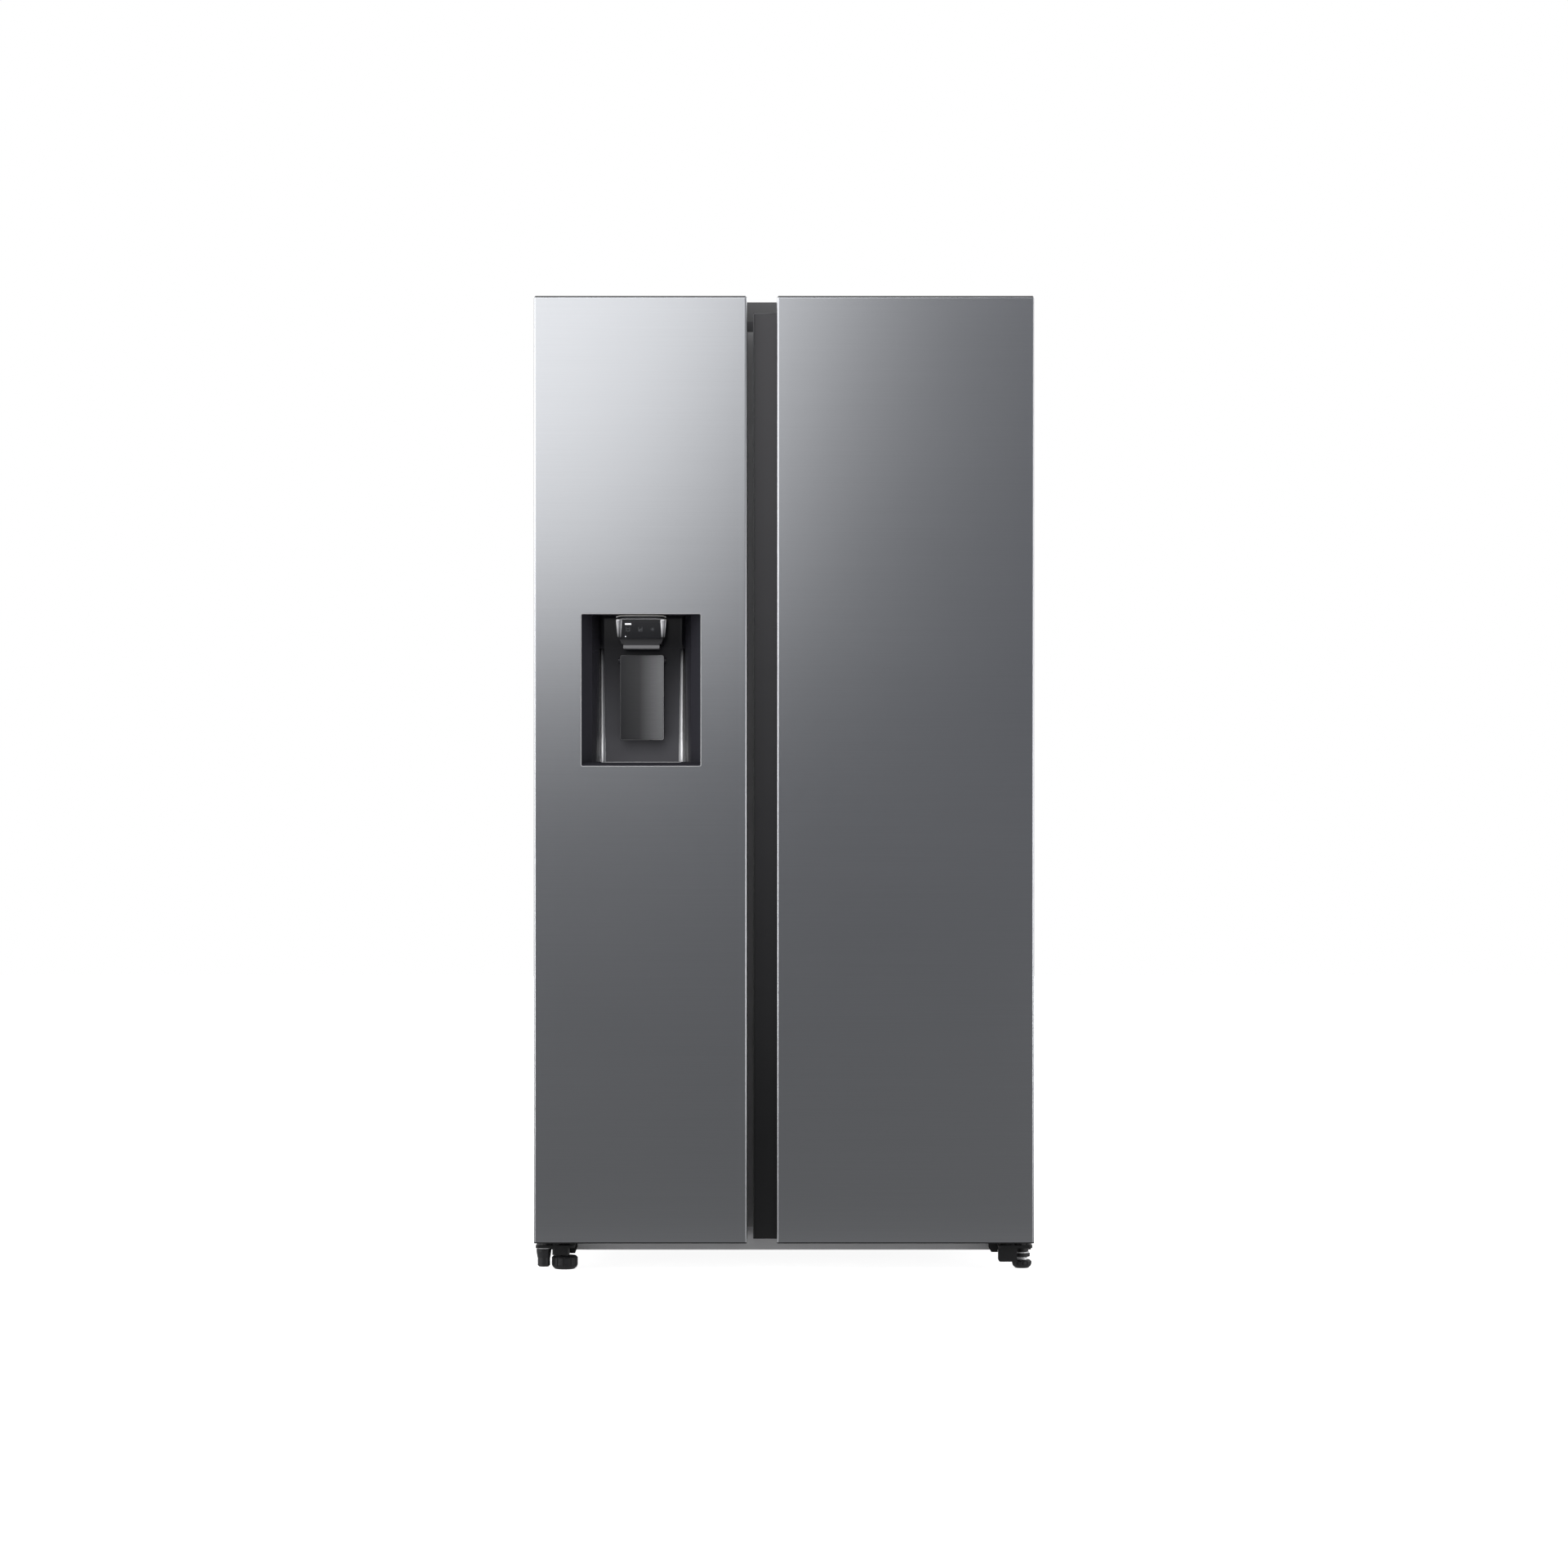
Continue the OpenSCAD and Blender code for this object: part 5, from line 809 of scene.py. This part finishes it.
piece("head_top_strip", points, faces, FINISH["satin_chrome_painted_shade"], "freezer_door", smooth=True)
print("head frame from", round(BOTTOM, 1), "to", round(TOP, 1))

# %% [markdown]
# On the black window lie a white level bar, three dim function marks and a small lamp.
# The marks are plain generic signs: a cup, a cup with cubes and a snow star.

# %% Display marks
MARK_Y, MARK_DEPTH = HEAD_Y - 0.12, 0.1
MARK_Z = HZ1 - 28.8
CUP_X, ICE_CUP_X, STAR_X = -24.0, -1.5, 20.8
CUP_HALF, CUP_RISE, LINE_W = 3.4, 3.6, 0.6


def flat(outline):
    """A thin plate on the window from its (x, z) outline."""
    return skin([[(HX + x, MARK_Y + depth, z) for x, z in outline] for depth in (0, MARK_DEPTH)])


def plate(x0, z0, x1, z1):
    return flat([(x0, z0), (x1, z0), (x1, z1), (x0, z1)])


def cup(cx):
    """Two walls and a bottom."""
    low, high = MARK_Z - CUP_RISE, MARK_Z + CUP_RISE
    return [plate(cx - CUP_HALF, low, cx - CUP_HALF + LINE_W, high),
            plate(cx + CUP_HALF - LINE_W, low, cx + CUP_HALF, high),
            plate(cx - CUP_HALF, low - LINE_W / 2, cx + CUP_HALF, low + LINE_W / 2)]


def joined(parts):
    """Several meshes as one list of points and one of faces."""
    points, faces = [], []
    for p, f in parts:
        faces += [tuple(i + len(points) for i in face) for face in f]
        points += p
    return points, faces


points, faces = plate(-29.6, HZ1 - 20.9, -18.1, HZ1 - 18.1)
piece("level_bar", points, faces, FINISH["lit_white"], "freezer_door")
marks = cup(CUP_X) + cup(ICE_CUP_X)
marks.append(plate(CUP_X - 2.0, MARK_Z + 0.4, CUP_X + 2.0, MARK_Z + 0.9))
for cube_x, cube_z in ((ICE_CUP_X - 2.0, MARK_Z - 2.0), (ICE_CUP_X + 0.5, MARK_Z - 1.0)):
    marks.append(plate(cube_x, cube_z, cube_x + 1.6, cube_z + 1.6))
for angle in (0, 60, 120):
    c, s = math.cos(math.radians(angle)), math.sin(math.radians(angle))
    arm = ((-3.6, -0.28), (3.6, -0.28), (3.6, 0.28), (-3.6, 0.28))
    marks.append(flat([(STAR_X + c * u - s * v, MARK_Z + s * u + c * v) for u, v in arm]))
points, faces = joined(marks)
piece("function_marks", points, faces, FINISH["dim_mark"], "freezer_door")
points, faces = plate(-29.4, HZ1 - 43.2, -27.4, HZ1 - 41.4)
piece("small_lamp", points, faces, FINISH["lit_white"], "freezer_door")
print("display marks:", len(marks))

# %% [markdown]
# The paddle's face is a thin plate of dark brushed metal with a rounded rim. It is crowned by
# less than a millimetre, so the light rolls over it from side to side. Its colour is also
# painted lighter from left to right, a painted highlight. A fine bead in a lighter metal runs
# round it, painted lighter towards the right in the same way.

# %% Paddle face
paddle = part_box("dispenser_lever")
PADDLE_W, PADDLE_H = 80, 156
PZ0 = paddle[0][2] / MM
PY = FRONT + 57
CROWN, ROUND_CORNER = 0.7, 4
RIM_LIFT, RIM_WIDTH = 0.85, 1.2
PADDLE_BEAD = 0.5


def spaced(near, middle, length):
    """Steps that are close at both ends, from 0 to a length."""
    return near + middle + [length - step for step in reversed(near)]


across = spaced([0, 0.35, 1.0, 2.0, 3.5], [6 + 68 * k / 17 for k in range(18)], PADDLE_W)
along = spaced([0, 0.35, 1.0, 2.0, 4], [10 + 136 * k / 6 for k in range(7)], PADDLE_H)


def paddle_point(u, v):
    """A point of the face: crowned across, with a rounded rim and round corners."""
    x = u - PADDLE_W / 2
    corner = max(0.0, ROUND_CORNER - min(u, PADDLE_W - u))
    cut = ROUND_CORNER - math.sqrt(max(0.0, ROUND_CORNER ** 2 - corner * corner))
    z = PZ0 + cut + (PADDLE_H - 2 * cut) * v / PADDLE_H
    rim = min(u, PADDLE_W - u, v, PADDLE_H - v)
    lift = RIM_LIFT * math.sin(math.pi / 2 * min(1.0, rim / RIM_WIDTH))
    return (HX + x, PY - 0.1 - lift - CROWN * (1 - (x / (PADDLE_W / 2)) ** 2), z)


points = [paddle_point(u, v) for u in across for v in along]
rows, columns = len(along), len(across)
faces = [(i * rows + j, (i + 1) * rows + j, (i + 1) * rows + j + 1, i * rows + j + 1)
         for i in range(columns - 1) for j in range(rows - 1)]
points += [(x, PY - 0.02, z) for x, y, z in points]
half = columns * rows
faces += [tuple(half + k for k in reversed(face)) for face in faces]
# the outer points in order: up one side, along the top, down the other side and back below
rim_loop = list(range(rows))
rim_loop += [i * rows + rows - 1 for i in range(1, columns)]
rim_loop += [(columns - 1) * rows + j for j in range(rows - 2, -1, -1)]
rim_loop += [i * rows for i in range(columns - 2, 0, -1)]
for here, there in zip(rim_loop, rim_loop[1:] + rim_loop[:1]):
    faces.append((here, there, half + there, half + here))
paddle_face = piece("paddle_face", points, faces, FINISH["dark_brushed_painted_highlight"], "dispenser_lever",
                    smooth=True)
edge = PADDLE_W / 2 - PADDLE_BEAD
outline = rounded(-edge, PZ0 + PADDLE_BEAD, edge, PZ0 + PADDLE_H - PADDLE_BEAD, 3.6)
points, faces = bead([(HX + x, PY - 0.95, z) for x, z in outline], PADDLE_BEAD, closed=True)
piece("paddle_rim_painted_highlight", points, faces, FINISH["paddle_rim_painted_highlight"], "dispenser_lever", smooth=True)
print("paddle face:", len(paddle_face.data.polygons), "faces")

# %% [markdown]
# ## Feet and hinge details
# The right foot shows its bright thread between the cap and the black collar, and a bright
# washer above the collar. A steel clip holds the water coupler under the left hinge.

# %% Repeats by geometry nodes
def row_tree():
    """Copies of one shape set out at even steps, joined into one mesh."""
    tree = bpy.data.node_groups.new("even_row", "GeometryNodeTree")
    sockets = (("Geometry", "Geometry"), ("Count", "Int"), ("Step", "Vector"), ("Finish", "Material"))
    for label, kind in sockets:
        tree.interface.new_socket(label, in_out="INPUT", socket_type="NodeSocket" + kind)
    tree.interface.new_socket("Geometry", in_out="OUTPUT", socket_type="NodeSocketGeometry")
    n, link = tree.nodes, tree.links.new
    gin, gout = n.new("NodeGroupInput"), n.new("NodeGroupOutput")
    line = n.new("GeometryNodeMeshLine")
    copies = n.new("GeometryNodeInstanceOnPoints")
    real = n.new("GeometryNodeRealizeInstances")
    dress = n.new("GeometryNodeSetMaterial")
    link(gin.outputs["Count"], line.inputs["Count"])
    link(gin.outputs["Step"], line.inputs["Offset"])
    link(line.outputs["Mesh"], copies.inputs["Points"])
    link(gin.outputs["Geometry"], copies.inputs["Instance"])
    link(copies.outputs["Instances"], real.inputs["Geometry"])
    link(real.outputs["Geometry"], dress.inputs["Geometry"])
    link(gin.outputs["Finish"], dress.inputs["Material"])
    link(dress.outputs["Geometry"], gout.inputs["Geometry"])
    return tree


ROW = row_tree()
ROW_SOCKET = {item.name: item.identifier for item in ROW.interface.items_tree if item.in_out == "INPUT"}


def row_of(name, points, faces, count, step, finish, body, smooth=False):
    """One mesh made of a shape and its even copies."""
    source = piece(name + "_one", points, faces, finish, body, smooth)
    source.parent = None
    repeat = source.modifiers.new("row", "NODES")
    repeat.node_group = ROW
    repeat[ROW_SOCKET["Count"]] = count
    repeat[ROW_SOCKET["Step"]] = [c * MM for c in step]
    repeat[ROW_SOCKET["Finish"]] = finish
    mesh = bpy.data.meshes.new_from_object(source.evaluated_get(bpy.context.evaluated_depsgraph_get()))
    mesh.name = name
    bpy.data.objects.remove(source)
    obj = bpy.data.objects.new(name, mesh)
    scene.collection.objects.link(obj)
    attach(obj, body)
    return obj


def turned(cx, cy, profile, sides=32):
    """A shape turned about an upright axis from (radius, z) pairs, closed as a ring."""
    angles = [2 * math.pi * k / sides for k in range(sides)]
    rings = [[(cx + r * math.cos(a), cy + r * math.sin(a), z) for a in angles] for r, z in profile]
    return skin(rings, closed=True)


right_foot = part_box("right_foot")
FOOT_X, FOOT_Y = ((low + high) / 2 / MM for low, high in zip(right_foot[0][:2], right_foot[1][:2]))
COUPLER_X, COUPLER_Y = -441, -294
THREAD_TURNS, THREAD_PITCH = 3, 1.82
THREAD = ((10.02, 15.1), (10.3, 15.1), (11.0, 15.75), (11.0, 16.0), (10.3, 16.7), (10.3, 16.9), (10.02, 16.9))
WASHER = ((10.1, 27.3), (13.2, 27.3), (13.6, 27.7), (13.6, 29.2), (13.2, 29.6), (10.1, 29.6))
CLIP = ((13.82, 38.2), (14.3, 38.2), (14.5, 38.5), (14.5, 39.6), (14.3, 39.9), (13.82, 39.9))
points, faces = turned(FOOT_X, FOOT_Y, THREAD)
foot_thread = row_of("foot_thread", points, faces, THREAD_TURNS, (0, 0, THREAD_PITCH),
                     FINISH["bright_thread"], "right_foot", smooth=True)
points, faces = turned(FOOT_X, FOOT_Y, WASHER)
piece("foot_washer", points, faces, FINISH["bright_thread"], "right_foot")
points, faces = turned(COUPLER_X, COUPLER_Y, CLIP)
piece("coupler_clip", points, faces, FINISH["bright_thread"], "cabinet", smooth=True)
print("thread:", len(foot_thread.data.polygons), "faces, foot at", round(FOOT_X, 2), round(FOOT_Y, 2))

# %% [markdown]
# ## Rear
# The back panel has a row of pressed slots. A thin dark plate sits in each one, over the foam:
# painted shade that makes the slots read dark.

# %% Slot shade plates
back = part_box("back_panel")
PAD_Y, PAD_Z = back[1][1] / MM - 0.55, back[0][2] / MM + 19
PAD_X, PAD_STEP, PAD_COUNT = -360, 60, 13
PAD_HALF_W, PAD_HALF_H, PAD_R, PAD_DEPTH = 19.7, 2.7, 2.6, 0.25
outline = rounded(-PAD_HALF_W, PAD_Z - PAD_HALF_H, PAD_HALF_W, PAD_Z + PAD_HALF_H, PAD_R, steps=4)
points, faces = skin([[(PAD_X + x, PAD_Y + depth, z) for x, z in outline] for depth in (0, PAD_DEPTH)])
slot_shade_plates = row_of("slot_shade_plates", points, faces, PAD_COUNT, (PAD_STEP, 0, 0),
                   FINISH["black_plastic"], "cabinet")
print("slot pads:", len(slot_shade_plates.data.polygons), "faces")
